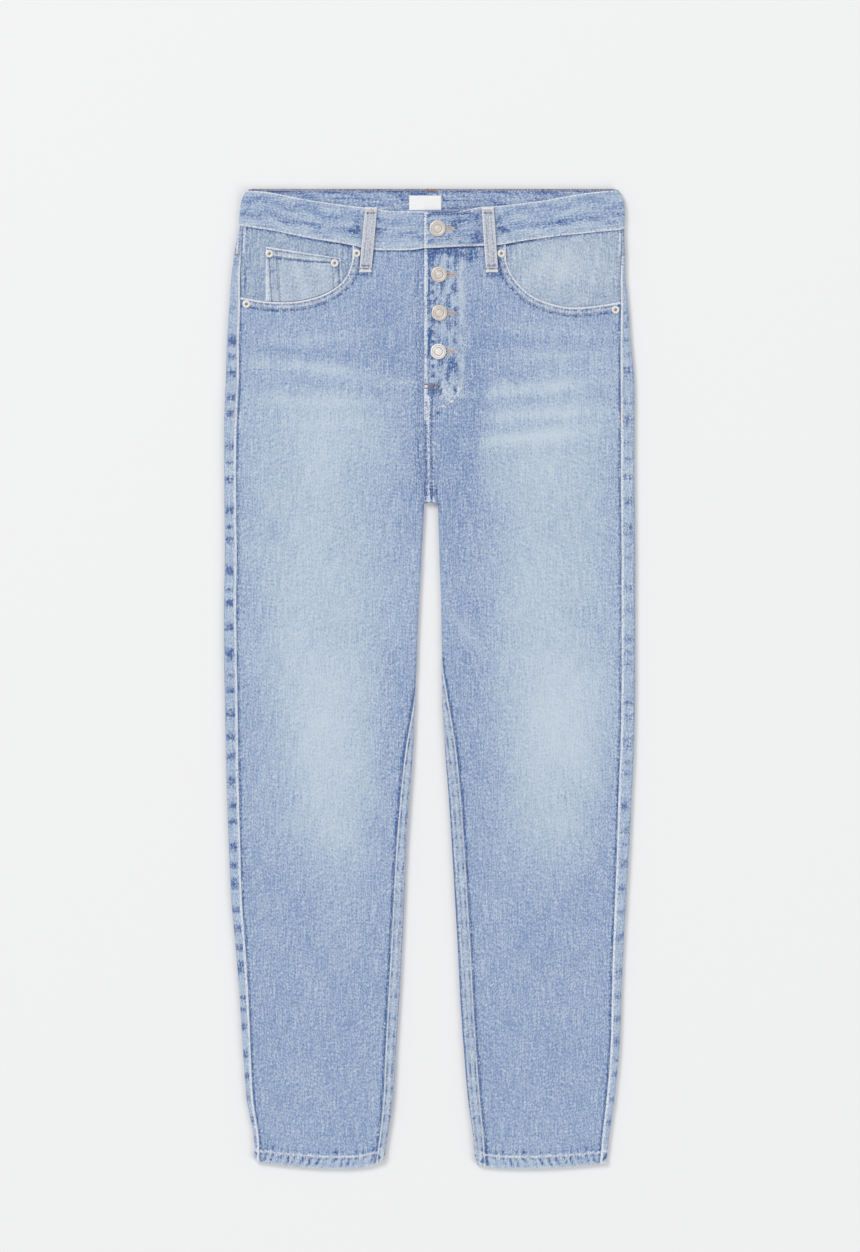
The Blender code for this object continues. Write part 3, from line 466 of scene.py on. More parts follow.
@dataclass(frozen=True)
class Tube:
    """One side of the laid garment: a flattened tube with an outer fold and, in the leg, an inner one."""

    side: Side

    @property
    def word(self) -> str:
        """The side's name as the tables have it."""
        return self.side.name.lower()

    @property
    def centre(self) -> float:
        """Where the front ends at the centre."""
        return {Side.RIGHT: 2.7, Side.LEFT: FRONT_EDGE_OF_FLY}[self.side]

    @property
    def back_centre(self) -> float:
        """Where the back ends at the seat seam."""
        return {Side.RIGHT: -1.6, Side.LEFT: 1.6}[self.side]

    @property
    def pocket_start(self) -> float:
        """Where the pocket opening meets the waistband."""
        return {Side.RIGHT: 83.2, Side.LEFT: 82.0}[self.side]

    def read(self, folds: Row, column: str, height: Grid) -> Grid:
        """Reads this side's column of a table of folds."""
        return follow(folds["height"], folds[f"{self.word}_{column}"], height)

    def outer_edge(self, height: Grid) -> Grid:
        """How far out the outer fold lies."""
        return self.read(OUTER_FOLDS, "edge", height)

    def inner_edge(self, height: Grid) -> Grid:
        """How far out the leg's inner fold lies."""
        return self.read(INNER_FOLDS, "edge", height)

    def front_start(self, height: Grid) -> Grid:
        """Where the front begins at the side seam, along the front."""
        return self.outer_edge(height) + HALF_BEND - self.read(OUTER_FOLDS, "seam", height) - SEAM_GAP

    def back_start(self, height: Grid) -> Grid:
        """Where the back begins at the side seam, along the back."""
        return self.outer_edge(height) + HALF_BEND + self.read(OUTER_FOLDS, "seam", height) - SEAM_GAP

    def front_end(self, height: Grid) -> Grid:
        """Where the front ends at the inside seam, along the front."""
        return self.inner_edge(height) - HALF_BEND + self.read(INNER_FOLDS, "seam", height) + SEAM_GAP

    def back_end(self, height: Grid) -> Grid:
        """Where the back ends at the inside seam, along the back."""
        return self.inner_edge(height) - HALF_BEND - self.read(INNER_FOLDS, "seam", height) + SEAM_GAP

    def waist_seam(self, out: Grid) -> Grid:
        """The waistband's lower seam across the front."""
        return follow(WAIST[self.side]["out"], WAIST[self.side]["seam"], out)

    def front_surface(self, out: Grid, height: Grid) -> Grid:
        """Height of the front's outside above the floor, with the folds."""
        levels = [HEM_STACK, HEM_STACK, LEG_HEIGHT, LEG_HEIGHT, SEAT_HEIGHT]
        base = np.interp(height, [0, 14, 45, 690, 745], levels)
        in_leg = height < CROTCH
        from_outer = 1 - smooth((self.outer_edge(height) - out - FOLD_RADIUS) / EDGE_EASE)
        beside_inner = smooth((out - self.inner_edge(height) - FOLD_RADIUS) / EDGE_EASE)
        from_inner = np.where(in_leg, 1 - beside_inner, 0)
        from_fly = np.where(in_leg, 0, 1 - smooth((out - self.centre - 6) / FLY_EASE))
        edge = np.maximum(from_outer, from_inner)
        surface = base + creases(FRONT_FOLDS, self.side, out, height) * (1 - edge) * (1 - from_fly)
        surface = surface + (FLY_HEIGHT[self.side.value] - surface) * from_fly
        return surface + (2 * FOLD_RADIUS - surface) * edge

    def back_surface(self, out: Grid, height: Grid) -> Grid:
        """Height of the back's outside above the floor."""
        from_fold = smooth((self.outer_edge(height) - FOLD_RADIUS - out) / BACK_EASE)
        seat = POCKET_LIFT * smooth((height - SEAT_FROM) / SEAT_RUN)
        waist = (LOOP_LIFT - POCKET_LIFT) * smooth((height - WAIST_FROM) / WAIST_RUN)
        return (seat + waist) * from_fold

    def place(
        self,
        face: Face,
        along: Grid,
        height: Grid,
        lift: Grid | float = 0.0,
        radius: float = FOLD_RADIUS,
        front: Callable[[Grid, Grid], Grid] | None = None,
    ) -> Grid:
        """Places points on the tube.

        Args:
            face: the face that along is counted on.
            along: out on the flat cloth, running on round each folded edge.
            height: height above the hem.
            lift: distance outwards from the cloth.
            radius: the folds' radius.
            front: the front's height above the floor, where it isn't the tube's own.

        Returns:
            Points as x, height and rise.
        """
        along, height, lift = np.broadcast_arrays(np.asarray(along, float), height, lift)
        in_leg = height < CROTCH
        outer = self.outer_edge(height) - radius
        inner = np.where(in_leg, self.inner_edge(height) + radius, -1e3)
        beyond_outer = along - outer
        beyond_inner = np.where(in_leg, inner - along, -1.0)
        beyond = np.maximum(beyond_outer, beyond_inner)
        turn = np.clip(beyond / radius, 0, math.pi)
        past = np.maximum(beyond - math.pi * radius, 0)
        outwards = np.where(beyond_outer > 0, 1.0, -1.0)
        root = np.where(beyond_outer > 0, outer, np.where(beyond_inner > 0, inner, along))
        out = root + outwards * (radius * np.sin(turn) - past) * (turn > 0)
        facing = 1.0 if face is Face.FRONT else -1.0
        rise = radius * (1 + facing * np.cos(turn))
        near, far = turn <= 0, turn >= math.pi
        on_front, on_back = (near, far) if face is Face.FRONT else (far, near)
        rise = np.where(on_front, (front or self.front_surface)(out, height), rise)
        rise = np.where(on_back, self.back_surface(out, height), rise)
        lifted_out = out + lift * outwards * np.sin(turn)
        return np.stack([self.side.value * lifted_out, height, rise + lift * facing * np.cos(turn)], axis=-1)

    def hem_bow(self, out: Grid, height: Grid) -> Grid:
        """How far the hem's edge rises towards its two corners."""
        outer_rise, inner_rise = {Side.RIGHT: (7.6, 10.0), Side.LEFT: (6.0, 4.6)}[self.side]
        share = (out - self.inner_edge(0.0)) / (self.outer_edge(0.0) - self.inner_edge(0.0))
        low = 0.34
        outer_part = outer_rise * np.clip((share - low) / (1 - low), 0, 1.05) ** 2
        inner_part = inner_rise * np.clip((low - share) / low, 0, 1.05) ** 3
        return (outer_part + inner_part) * (1 - smooth((height - 4) / 70))


def cells(index: Grid) -> Grid:
    """The four corners of each cell in a grid of points' indices."""
    corners = [index[:-1, :-1], index[:-1, 1:], index[1:, 1:], index[1:, :-1]]
    return np.stack(corners, axis=-1).reshape(-1, 4)


@dataclass
class Shell:
    """A closed sheet of cloth between two grids of points, with its grain and its colouring of wash, wear and
    painted shade.
    """

    outer: Grid
    inner: Grid
    grain: Grid
    dye: Grid
    inner_dye: Grid | None = None

    def make(
        self, solid: str, finish: bpy.types.Material, slot: str = "denim", kind: str = "cloth"
    ) -> bpy.types.Object:
        """Builds the sheet in place of its solid.

        Args:
            solid: the solid's name.
            finish: the cloth's finish.
            slot: not used.
            kind: the word that the sheet's own name ends with.

        Returns:
            The object, in metres in the frame.
        """
        outer, inner, grain, dye = self.outer, self.inner, self.grain, self.dye
        inner_dye = dye if self.inner_dye is None else self.inner_dye
        r, c = outer.shape[0] // 2, outer.shape[1] // 2
        turned = np.cross(outer[r, c] - outer[r, c - 1], outer[r, c] - outer[r - 1, c])
        if turned @ (outer[r, c] - inner[r, c]) < 0:
            outer, inner, grain, dye, inner_dye = (a[:, ::-1] for a in (outer, inner, grain, dye, inner_dye))
        rows, columns = outer.shape[:2]
        count = rows * columns
        index = np.arange(count).reshape(rows, columns)
        rim = np.array([*index[0, :-1], *index[:-1, -1], *index[-1, :0:-1], *index[:0:-1, 0]])
        ahead = np.roll(rim, -1)
        wall = np.stack([rim, rim + count, ahead + count, ahead], axis=-1)
        faces = [cells(index), cells(index + count)[:, [0, 3, 2, 1]], wall]
        points = np.concatenate([outer.reshape(-1, 3), inner.reshape(-1, 3)])
        mesh = mesh_of(f"{solid}_{kind}", points, np.concatenate(faces))
        grains = np.concatenate([grain.reshape(-1, 2)] * 2)
        dyes = np.concatenate([dye.reshape(-1, 3), inner_dye.reshape(-1, 3)])
        dress(mesh, grains, dyes)
        mesh.set_sharp_from_angle(angle=math.radians(55))
        made = placed(mesh, finish)
        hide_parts(solid)
        return made


def mesh_of(name: str, points: Grid, faces: Grid) -> bpy.types.Mesh:
    """Makes a smooth mesh of points in millimetres.

    Args:
        name: its name.
        points: x, height and rise of each point.
        faces: the points' indices of each face.

    Returns:
        The mesh, in metres in the frame.
    """
    mesh = bpy.data.meshes.new(name)
    flat = np.maximum(points, [-np.inf, -np.inf, CLOTH_FLOOR])
    mesh.from_pydata(((flat - ORIGIN) * MM).tolist(), [], faces.tolist())
    mesh.shade_smooth()
    return mesh


def dress(mesh: bpy.types.Mesh, grain: Grid, dye: Grid) -> None:
    """Gives a mesh its grain coordinates, in metres, and its colouring of wash, wear and painted shade.

    Args:
        mesh: the mesh.
        grain: across and up the weave, in millimetres, for each point.
        dye: fade, indigo with painted shade, and rubbing for each point.
    """
    corner = np.empty(len(mesh.loops), np.int32)
    mesh.loops.foreach_get("vertex_index", corner)
    layer = mesh.uv_layers.new(name="grain")
    layer.data.foreach_set("uv", (grain[corner] * MM).astype(np.float32).ravel())
    painted = mesh.color_attributes.new("dye", "FLOAT_COLOR", "POINT")
    full = np.concatenate([np.clip(dye, 0, 1), np.ones((len(dye), 1))], axis=1)
    painted.data.foreach_set("color", full.astype(np.float32).ravel())


def placed(mesh: bpy.types.Mesh, material: bpy.types.Material) -> bpy.types.Object:
    """Puts a mesh in the scene with its finish and lets it ride on the garment's body."""
    mesh.materials.append(material)
    made = bpy.data.objects.new(mesh.name, mesh)
    bpy.context.scene.collection.objects.link(made)
    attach(made, "root")
    return made


# Finishes


class Nodes:
    """Adds and joins shader nodes in one tree."""

    def __init__(self, tree: bpy.types.NodeTree) -> None:
        """Keeps the tree."""
        self.tree = tree

    def feed(self, node: bpy.types.Node, inputs: dict[str | int, object]) -> None:
        """Joins a socket to each named input, or sets the input's value.

        Args:
            node: the node.
            inputs: a socket or a value for each input.
        """
        for key, value in inputs.items():
            if isinstance(value, bpy.types.NodeSocket):
                self.tree.links.new(value, node.inputs[key])
            else:
                node.inputs[key].default_value = value

    def add(self, kind: str, inputs: dict | None = None, **settings: object) -> bpy.types.Node:
        """Adds a node.

        Args:
            kind: the node's type.
            inputs: a value, or a socket to join, for each input.
            settings: the node's own properties.

        Returns:
            The node.
        """
        node = self.tree.nodes.new(kind)
        for key, value in settings.items():
            setattr(node, key, value)
        self.feed(node, inputs or {})
        return node

    def math(self, operation: str, *values: object, clamp: bool = False) -> bpy.types.NodeSocket:
        """Adds a maths node and gives its result."""
        inputs = dict(enumerate(values))
        return self.add("ShaderNodeMath", inputs, operation=operation, use_clamp=clamp).outputs[0]

    def about_half(self, value: object, scale: object) -> bpy.types.NodeSocket:
        """Takes 0.5 off a value and scales what is left."""
        return self.math("MULTIPLY", self.math("SUBTRACT", value, 0.5), scale)

    def mix(self, share: object, first: object, second: object) -> bpy.types.NodeSocket:
        """Mixes two colours and gives the result."""
        inputs = {"Factor": share, 6: first, 7: second}
        return self.add("ShaderNodeMix", inputs, data_type="RGBA").outputs[2]

    def noise(self, place: object, scale: float, detail: float, rough: float) -> bpy.types.NodeSocket:
        """Adds a noise texture and gives its value."""
        inputs = {"Vector": place, "Scale": scale, "Detail": detail, "Roughness": rough}
        return self.add("ShaderNodeTexNoise", inputs).outputs["Fac"]

    def stretched(self, place: object, turn: float, across: float, up: float) -> bpy.types.NodeSocket:
        """Turns a place by some degrees and then scales it across and up."""
        turned = self.add("ShaderNodeMapping", {"Vector": place, "Rotation": (0, 0, math.radians(turn))})
        inputs = {"Vector": turned.outputs[0], "Scale": (across, up, 1.0)}
        return self.add("ShaderNodeMapping", inputs).outputs[0]

    def patches(self, scale: float, detail: float, rough: float, contrast: float) -> bpy.types.NodeSocket:
        """Spreads uneven patches over the object, from 0 to 1."""
        share = self.noise(self.add("ShaderNodeTexCoord").outputs["Object"], scale, detail, rough)
        return self.math("ADD", self.about_half(share, contrast), 0.5, clamp=True)

    def broken(self, operation: str, amount: object, grain: object) -> bpy.types.NodeSocket:
        """Breaks up an amount of deep blue (indigo and painted shade) or of wear by the cloth's grain."""
        share = self.math(operation, amount, self.math("MULTIPLY", grain, 0.9), clamp=True)
        return self.math("MULTIPLY", share, self.math("MULTIPLY", amount, 1.6, clamp=True))

    def bump(self, height: object, strength: float, depth: float) -> bpy.types.NodeSocket:
        """Adds a bump of a depth in metres and gives its normal."""
        inputs = {"Height": height, "Strength": strength, "Distance": depth}
        return self.add("ShaderNodeBump", inputs).outputs[0]


def weave_group() -> bpy.types.NodeTree:
    """Builds the shared denim weave: its mottled grain, slubs and twill.

    Returns:
        The group. Grain is the tone of the cloth about 0.5, Height its relief from 0 to 1.
    """
    group = bpy.data.node_groups.new("denim_weave", "ShaderNodeTree")
    sockets = {"Place": "INPUT Vector", "Slub": "INPUT Float", "Mottle": "INPUT Float"}
    sockets |= {"Grain": "OUTPUT Float", "Height": "OUTPUT Float"}
    for name, form in sockets.items():
        way, kind = form.split()
        group.interface.new_socket(name, in_out=way, socket_type="NodeSocket" + kind)
    n = Nodes(group)
    given = n.add("NodeGroupInput").outputs
    place = given["Place"]
    streak = n.noise(n.stretched(place, 0, 820, 34), 1.0, 3, 0.6)
    cross = n.noise(n.stretched(place, 0, 80, 700), 1.0, 2, 0.5)
    grain = n.noise(n.stretched(place, 30, 780, 330), 1.0, 3, 0.7)
    blotch = n.noise(place, 150, 3, 0.6)
    inputs = {"Vector": n.stretched(place, 27, 1, 1), "Scale": 250.0}
    inputs |= {"Distortion": 1.4, "Detail": 1.0, "Detail Scale": 2.0}
    twill = n.add("ShaderNodeTexWave", inputs, bands_direction="X").outputs["Fac"]
    slub = n.about_half(streak, given["Slub"])
    weft = n.about_half(cross, 0.45)
    mottle = n.about_half(grain, given["Mottle"])
    cloud = n.about_half(blotch, 0.35)
    ribs = n.about_half(twill, 0.16)
    tone = n.math("ADD", n.math("ADD", slub, weft), n.math("ADD", n.math("ADD", mottle, cloud), ribs))
    height = n.math("ADD", n.math("MULTIPLY", tone, 0.35), n.math("MULTIPLY", twill, 0.35))
    result = {"Grain": n.math("ADD", tone, 0.5), "Height": n.math("ADD", height, 0.3, clamp=True)}
    n.add("NodeGroupOutput", result)
    return group


def linear(colour: Sequence[float]) -> tuple[float, float, float, float]:
    """Turns a colour given from 0 to 255 into scene light."""
    shares = [c / 255 for c in colour]
    light = [c / 12.92 if c <= 0.04045 else ((c + 0.055) / 1.055) ** 2.4 for c in shares]
    return (*light, 1.0)


def start_material(name: str) -> tuple[bpy.types.Material, Nodes, bpy.types.Node]:
    """Starts a material.

    Args:
        name: its name.

    Returns:
        The material, its nodes and its shader.
    """
    made = bpy.data.materials.new(name)
    made.use_nodes = True
    return made, Nodes(made.node_tree), made.node_tree.nodes["Principled BSDF"]


@dataclass(frozen=True)
class DenimFinish:
    """Stonewashed indigo twill: blue where the colour is kept, pale where washing or rubbing took it off, and
    deep blue also where shade is painted.
    """

    name: str
    # Deep blue of the kept indigo; the same colour also paints shade where the deep channel marks it
    indigo: tuple[int, int, int] = (66, 97, 154)
    blue: tuple[int, int, int] = (121, 145, 188)
    faded: tuple[int, int, int] = (201, 214, 225)
    rubbed: tuple[int, int, int] = (226, 232, 240)
    slub: float = 1.1
    mottle: float = 2.6
    contrast: float = 1.15

    def material(self, weave: bpy.types.NodeTree) -> bpy.types.Material:
        """Builds the material.

        Args:
            weave: the shared weave group.

        Returns:
            The finished material.
        """
        made, n, shader = start_material(self.name)
        place = n.add("ShaderNodeUVMap", uv_map="grain").outputs[0]
        dye = n.add("ShaderNodeAttribute", attribute_name="dye").outputs["Color"]
        fade, deep, worn = n.add("ShaderNodeSeparateColor", {"Color": dye}).outputs
        inputs = {"Place": place, "Slub": self.slub, "Mottle": self.mottle}
        cloth = n.add("ShaderNodeGroup", inputs, node_tree=weave).outputs
        grain = n.about_half(cloth["Grain"], self.contrast)
        grain = n.math("MULTIPLY", grain, n.math("MULTIPLY_ADD", fade, -1.0, 1.7))
        tone = n.math("MULTIPLY_ADD", fade, 0.766, 0.234)
        pale = n.math("ADD", tone, n.math("MULTIPLY", grain, 0.766), clamp=True)
        colour = n.mix(pale, linear(self.blue), linear(self.faded))
        # Deep blue: indigo, and painted shade where it is marked
        colour = n.mix(n.broken("SUBTRACT", deep, grain), colour, linear(self.indigo))
        colour = n.mix(n.broken("ADD", worn, grain), colour, linear(self.rubbed))
        looks = {"Base Color": colour, "Normal": n.bump(cloth["Height"], 0.8, 0.0005), "Roughness": 0.9}
        looks |= {"Specular IOR Level": 0.25, "Sheen Weight": 0.12, "Sheen Roughness": 0.5}
        n.feed(shader, looks)
        return made


@dataclass(frozen=True)
class ThreadFinish:
    """Twisted sewing thread."""

    name: str
    light: tuple[int, int, int]
    dark: tuple[int, int, int]

    def material(self) -> bpy.types.Material:
        """Builds the material: two tones that change along the seam."""
        made, n, shader = start_material(self.name)
        colour = n.mix(n.patches(260.0, 3, 0.6, 2.2), linear(self.dark), linear(self.light))
        n.feed(shader, {"Base Color": colour, "Roughness": 0.75, "Sheen Weight": 0.2})
        return made


@dataclass(frozen=True)
class MetalFinish:
    """Pale washed metal with worn, greyer patches."""

    name: str
    bright: tuple[int, int, int]
    dull: tuple[int, int, int]
    roughness: float
    metallic: float

    def material(self) -> bpy.types.Material:
        """Builds the material: brighter and smoother in patches."""
        made, n, shader = start_material(self.name)
        share = n.patches(620.0, 4, 0.65, 2.4)
        colour = n.mix(share, linear(self.dull), linear(self.bright))
        rough = n.math("ADD", n.math("MULTIPLY", share, -0.16), self.roughness + 0.08, clamp=True)
        looks = {"Base Color": colour, "Roughness": rough, "Normal": n.bump(share, 0.2, 0.0001)}
        n.feed(shader, looks | {"Metallic": self.metallic})
        return made


@dataclass(frozen=True)
class SatinFinish:
    """The bare label's smooth white satin with its fine woven ribs."""

    name: str = "label_satin"
    white: tuple[int, int, int] = (244, 244, 242)
    shade: tuple[int, int, int] = (222, 224, 226)

    def material(self) -> bpy.types.Material:
        """Builds the material: faint ribs that come and go."""
        made, n, shader = start_material(self.name)
        place = n.add("ShaderNodeUVMap", uv_map="grain").outputs[0]
        inputs = {"Vector": place, "Scale": 420.0}
        ribs = n.add("ShaderNodeTexWave", inputs, bands_direction="Y").outputs["Fac"]
        share = n.math("MULTIPLY", ribs, n.noise(place, 180, 2, 0.5))
        colour = n.mix(share, linear(self.white), linear(self.shade))
        n.feed(shader, {"Base Color": colour, "Normal": n.bump(ribs, 0.25, 0.0001), "Roughness": 0.5})
        return made


@dataclass(frozen=True)
class Wardrobe:
    """All finishes of the garment."""

    denim: bpy.types.Material
    pale: bpy.types.Material
    loop: bpy.types.Material
    label: bpy.types.Material
    thread: bpy.types.Material
    tan_thread: bpy.types.Material
    brown_thread: bpy.types.Material
    grey_thread: bpy.types.Material
    button: bpy.types.Material
    glint_button: bpy.types.Material
    button_groove_shade: bpy.types.Material
    rivet: bpy.types.Material
    rivet_centre: bpy.types.Material

    @staticmethod
    def sewn() -> "Wardrobe":
        """Builds every finish once."""
        weave = weave_group()
        return Wardrobe(
            denim=DenimFinish("washed_denim").material(weave),
            pale=DenimFinish("pale_denim", faded=(204, 214, 224), blue=(124, 147, 182)).material(weave),
            loop=DenimFinish("loop_denim", (104, 120, 154), (150, 162, 186), (216, 217, 222)).material(weave),
            label=SatinFinish().material(),
            thread=ThreadFinish("pale_thread", (220, 216, 216), (152, 150, 160)).material(),
            tan_thread=ThreadFinish("tan_thread", (240, 218, 198), (208, 178, 154)).material(),
            brown_thread=ThreadFinish("brown_thread", (188, 156, 138), (118, 98, 94)).material(),
            grey_thread=ThreadFinish("grey_thread", (180, 170, 174), (116, 112, 128)).material(),
            button=MetalFinish("button_nickel", (242, 236, 229), (214, 206, 198), 0.34, 0.42).material(),
            # Painted glint: the lower fly button gets a near-white metal that stands for a reflection
            glint_button=MetalFinish(
                "button_glint", (252, 250, 248), (240, 238, 234), 0.25, 0.3
            ).material(),
            # Painted shade: a darker metal on the heads' ring grooves stands for the shade in them
            button_groove_shade=MetalFinish(
                "button_groove_shade", (198, 184, 170), (160, 146, 134), 0.5, 0.45
            ).material(),
            rivet=MetalFinish("rivet_silver", (252, 252, 250), (228, 227, 224), 0.3, 0.38).material(),
            rivet_centre=MetalFinish("rivet_copper", (184, 160, 138), (118, 100, 88), 0.4, 0.5).material(),
        )


# Sewing


@dataclass
class Sewing:
    """Stitches gathered for one joined mesh."""

    name: str
    points: list[Grid] = field(default_factory=list)

    def stitch(self, start: Grid, end: Grid, up: Grid, width: float = 0.8, rise: float = 0.36) -> None:
        """Adds stitches, each a small pillow from one hole to the next.

        Args:
            start: first ends, a row for each stitch.
            end: last ends.
            up: outward directions.
            width: the thread's width.
            rise: how far the thread stands off the cloth.
        """
        run = end - start
        across = unit(np.cross(run, up)) * width / 2
        rings = []
        for share in (0.2, 0.8):
            middle = start + share * run
            rings += [middle + across, middle + up * rise, middle - across, middle - up * 0.1]
        self.points.append(np.stack([start - up * 0.12, *rings, end - up * 0.12], axis=1))

    def row(self, path: Grid, up: Grid, length: float = 2.4, pitch: float = 3.3, width: float = 0.8) -> None:
        """Sews a row of stitches.

        Args:
            path: points along the seam.
            up: the cloth's outward direction at each.
            length: of a stitch.
            pitch: from one stitch to the next.
            width: the thread's width.
        """
        run = travelled(path)
        starts = np.arange(0.4, run[-1] - length, pitch)
        if not len(starts):
            return
        reads = ((starts, path), (starts + length, path), (starts + length / 2, up))
        first, last, out = (
            np.stack([np.interp(at, run, values[:, k]) for k in range(3)], axis=1) for at, values in reads
        )
        self.stitch(first, last, unit(out), width)

    def bar(self, start: Grid, end: Grid, up: Grid, width: float = 2.2, step: float = 0.62) -> None:
        """Sews a bartack: threads side by side across a short line.

        Args:
            start: one end of the line.
            end: the other end.
            up: outward direction.
            width: length of the threads across the line.
            step: from one thread to the next.
        """
        run = end - start
        length = float(np.linalg.norm(run))
        side = np.cross(up, run / length)
        shares = np.arange(0.0, length + 0.01, step) / length
        middle = start + shares[:, None] * run
        lean = run / length * step * 0.5
        ups = np.tile(up, (len(shares), 1))
        self.stitch(middle - side * width / 2 - lean, middle + side * width / 2 + lean, ups, 0.7, 0.3)

    def make(self, material: bpy.types.Material) -> bpy.types.Object:
        """Joins the stitches into one object."""
        verts = np.maximum(np.concatenate(self.points), [-np.inf, -np.inf, THREAD_FLOOR])
        corners = [(0, 1, 2), (0, 2, 3), (0, 3, 4), (0, 4, 1), (9, 6, 5), (9, 7, 6), (9, 8, 7), (9, 5, 8)]
        sides = [(1, 5, 6, 2), (2, 6, 7, 3), (3, 7, 8, 4), (4, 8, 5, 1)]
        faces: list[tuple[int, ...]] = []
        for i in range(len(verts)):
            faces += [tuple(10 * i + k for k in face) for face in corners + sides]
        mesh = bpy.data.meshes.new(self.name)
        mesh.from_pydata(((verts.reshape(-1, 3) - ORIGIN) * MM).tolist(), [], faces)
        shaped = bmesh.new()
        shaped.from_mesh(mesh)
        bmesh.ops.recalc_face_normals(shaped, faces=shaped.faces)
        shaped.to_mesh(mesh)
        shaped.free()
        mesh.shade_smooth()
        made = placed(mesh, material)
        return made


def surface_path(place: Callable[[Grid, Grid, float], Grid], along: Grid, height: Grid) -> tuple[Grid, Grid]:
    """Follows a path on a piece of cloth.

    Args:
        place: gives points at a lift above the cloth.
        along: places across.
        height: places up.

    Returns:
        Points just on the cloth, and its outward directions.
    """
    points = place(along, height, 0.0)
    return points, unit(place(along, height, 1.0) - points)


# Panels


def distance_to(path: Grid, out: Grid, height: Grid) -> Grid:
    """Distance from each place to a line of points.

    Args:
        path: (out, height) pairs.
        out: places across.
        height: places up.

    Returns:
        The distances, in millimetres.
    """
    best = np.full(np.broadcast(out, height).shape, 1e6)
    for (a, b), (c, d) in zip(path[:-1], path[1:]):
        run = np.array([c - a, d - b])
        share = np.clip(((out - a) * run[0] + (height - b) * run[1]) / (run @ run), 0, 1)
        best = np.minimum(best, np.hypot(out - a - share * run[0], height - b - share * run[1]))
    return best


def round_fold(tangent: float, end: float, steps: int) -> Grid:
    """Places from where a fold begins to the end of the cloth, most of them on the bend.

    Args:
        tangent: where the fold begins.
        end: where the cloth ends.
        steps: how many steps lie between.

    Returns:
        steps + 1 places.
    """
    reach = end - tangent
    bend = math.copysign(math.pi * FOLD_RADIUS, reach)
    if abs(reach) > abs(bend) + 1.5:
        on_bend = (2 * steps) // 3
        rest = np.linspace(tangent + bend, end, steps - on_bend + 1)[1:]
        return np.concatenate([np.linspace(tangent, tangent + bend, on_bend + 1), rest])
    return np.linspace(tangent, end, steps + 1)


def leg_rows(step: float) -> list[float]:
    """Heights of a leg's rows: close together at the crotch and in the hem."""
    middle = np.linspace(CROTCH - 0.6, 20.0, int((CROTCH - 20) / step))
    return [*middle, *np.linspace(18.8, 0.0, 18)]


def roping(along: Grid, height: Grid) -> Grid:
    """The uneven slanted wave of a hem after washing, from -1 to 1."""
    return np.sin(2 * math.pi * (along + 0.45 * height) / HEM_WAVE + 1.1 * SOFT(along, height * 0))


def hem_relief(along: Grid, height: Grid) -> Grid:
    """The hem's roping: slanted puckers between the stitches and the folded edge."""
    inside = smooth((11.8 - height) / 1.6)
    rolled = -0.75 * bell(height, 1.3) - 0.35 * bell(height - 12.4, 0.9)
    above = 0.2 * bell(height - 17, 4) * np.sin(2 * math.pi * along / HEM_WAVE + SOFT(along, height * 0))
    return inside * 0.3 * roping(along, height) * smooth(height / 3) + rolled + above


def hem_dye(along: Grid, height: Grid, dye: Grid) -> None:
    """Paints the hem: pale on the ropes and edge, blue between them and above the stitches."""
    low = height < HEM_TOP
    along, height, part = along[low], height[low], dye[low]
    fade, deep, worn = np.moveaxis(part, -1, 0)
    inside = smooth((12.0 - height) / 1.0)
    rope = roping(along, height)
    uneven = np.clip(1.0 + 0.4 * SOFT(along * 0.8, height * 0 + 7), 0.5, 1.2)
    blue = np.clip(-1.4 * rope - 0.15, 0, 1) * uneven
    fade += inside * (0.34 + 0.12 * rope)
    deep += inside * 0.8 * blue * smooth((height - 1.4) / 3.0) + 0.3 * inside * bell(height - 10.4, 1.2)
    worn += 0.55 * bell(height, 2.2) + (0.75 + 0.2 * PUCKER(along, height)) * bell(height - 12.7, 1.8)
    spots = np.clip(np.sin(2 * math.pi * along / HEM_WAVE + SOFT(along, height * 0)) + 0.3, 0, 1)
    deep += 0.85 * bell(height - 17.0, 2.6) * spots * (0.8 + 0.3 * FINE(along, height))
    dye[low] = part


@dataclass
class Panel:
    """A denim panel on one side's tube. Each kind has rows, a relief, its colouring and stitches of its own;
    the front's colouring holds painted shade too.
    """

    side: Side

    KIND = "panel"
    FACE = Face.BACK
    GRAIN_START = 0.0

    def __post_init__(self) -> None:
        """Keeps the tube."""
        self.tube = Tube(self.side)

    def place(self, along: Grid, height: Grid, lift: float | Grid = 0.0) -> Grid:
        """Places points on the dressed cloth, with the hem's bow."""
        points = self.tube.place(self.FACE, along, height, self.relief(along, height) + lift)
        points[..., 1] += np.where(height < CROTCH, self.tube.hem_bow(np.abs(points[..., 0]), height), 0.0)
        return points

    def make(self, wardrobe: Wardrobe) -> bpy.types.Object:
        """Builds the panel in place of its solid."""
        along, height = self.rows()
        thick = np.where(height <= HEM_HEIGHT, HEM_FOLD, DENIM)
        outer, inner = self.place(along, height), self.place(along, height, -thick)
        grain = np.stack([along + self.GRAIN_START, height], axis=-1)
        shell = Shell(outer, inner, grain, self.dye(along, height))
        return shell.make(f"{self.KIND}_{self.tube.word}", wardrobe.denim)

    def path(self, along: Grid, height: Grid) -> tuple[Grid, Grid]:
        """Follows a path on this panel."""
        along, height = np.broadcast_arrays(np.asarray(along, float), np.asarray(height, float))
        return surface_path(self.place, along, height)


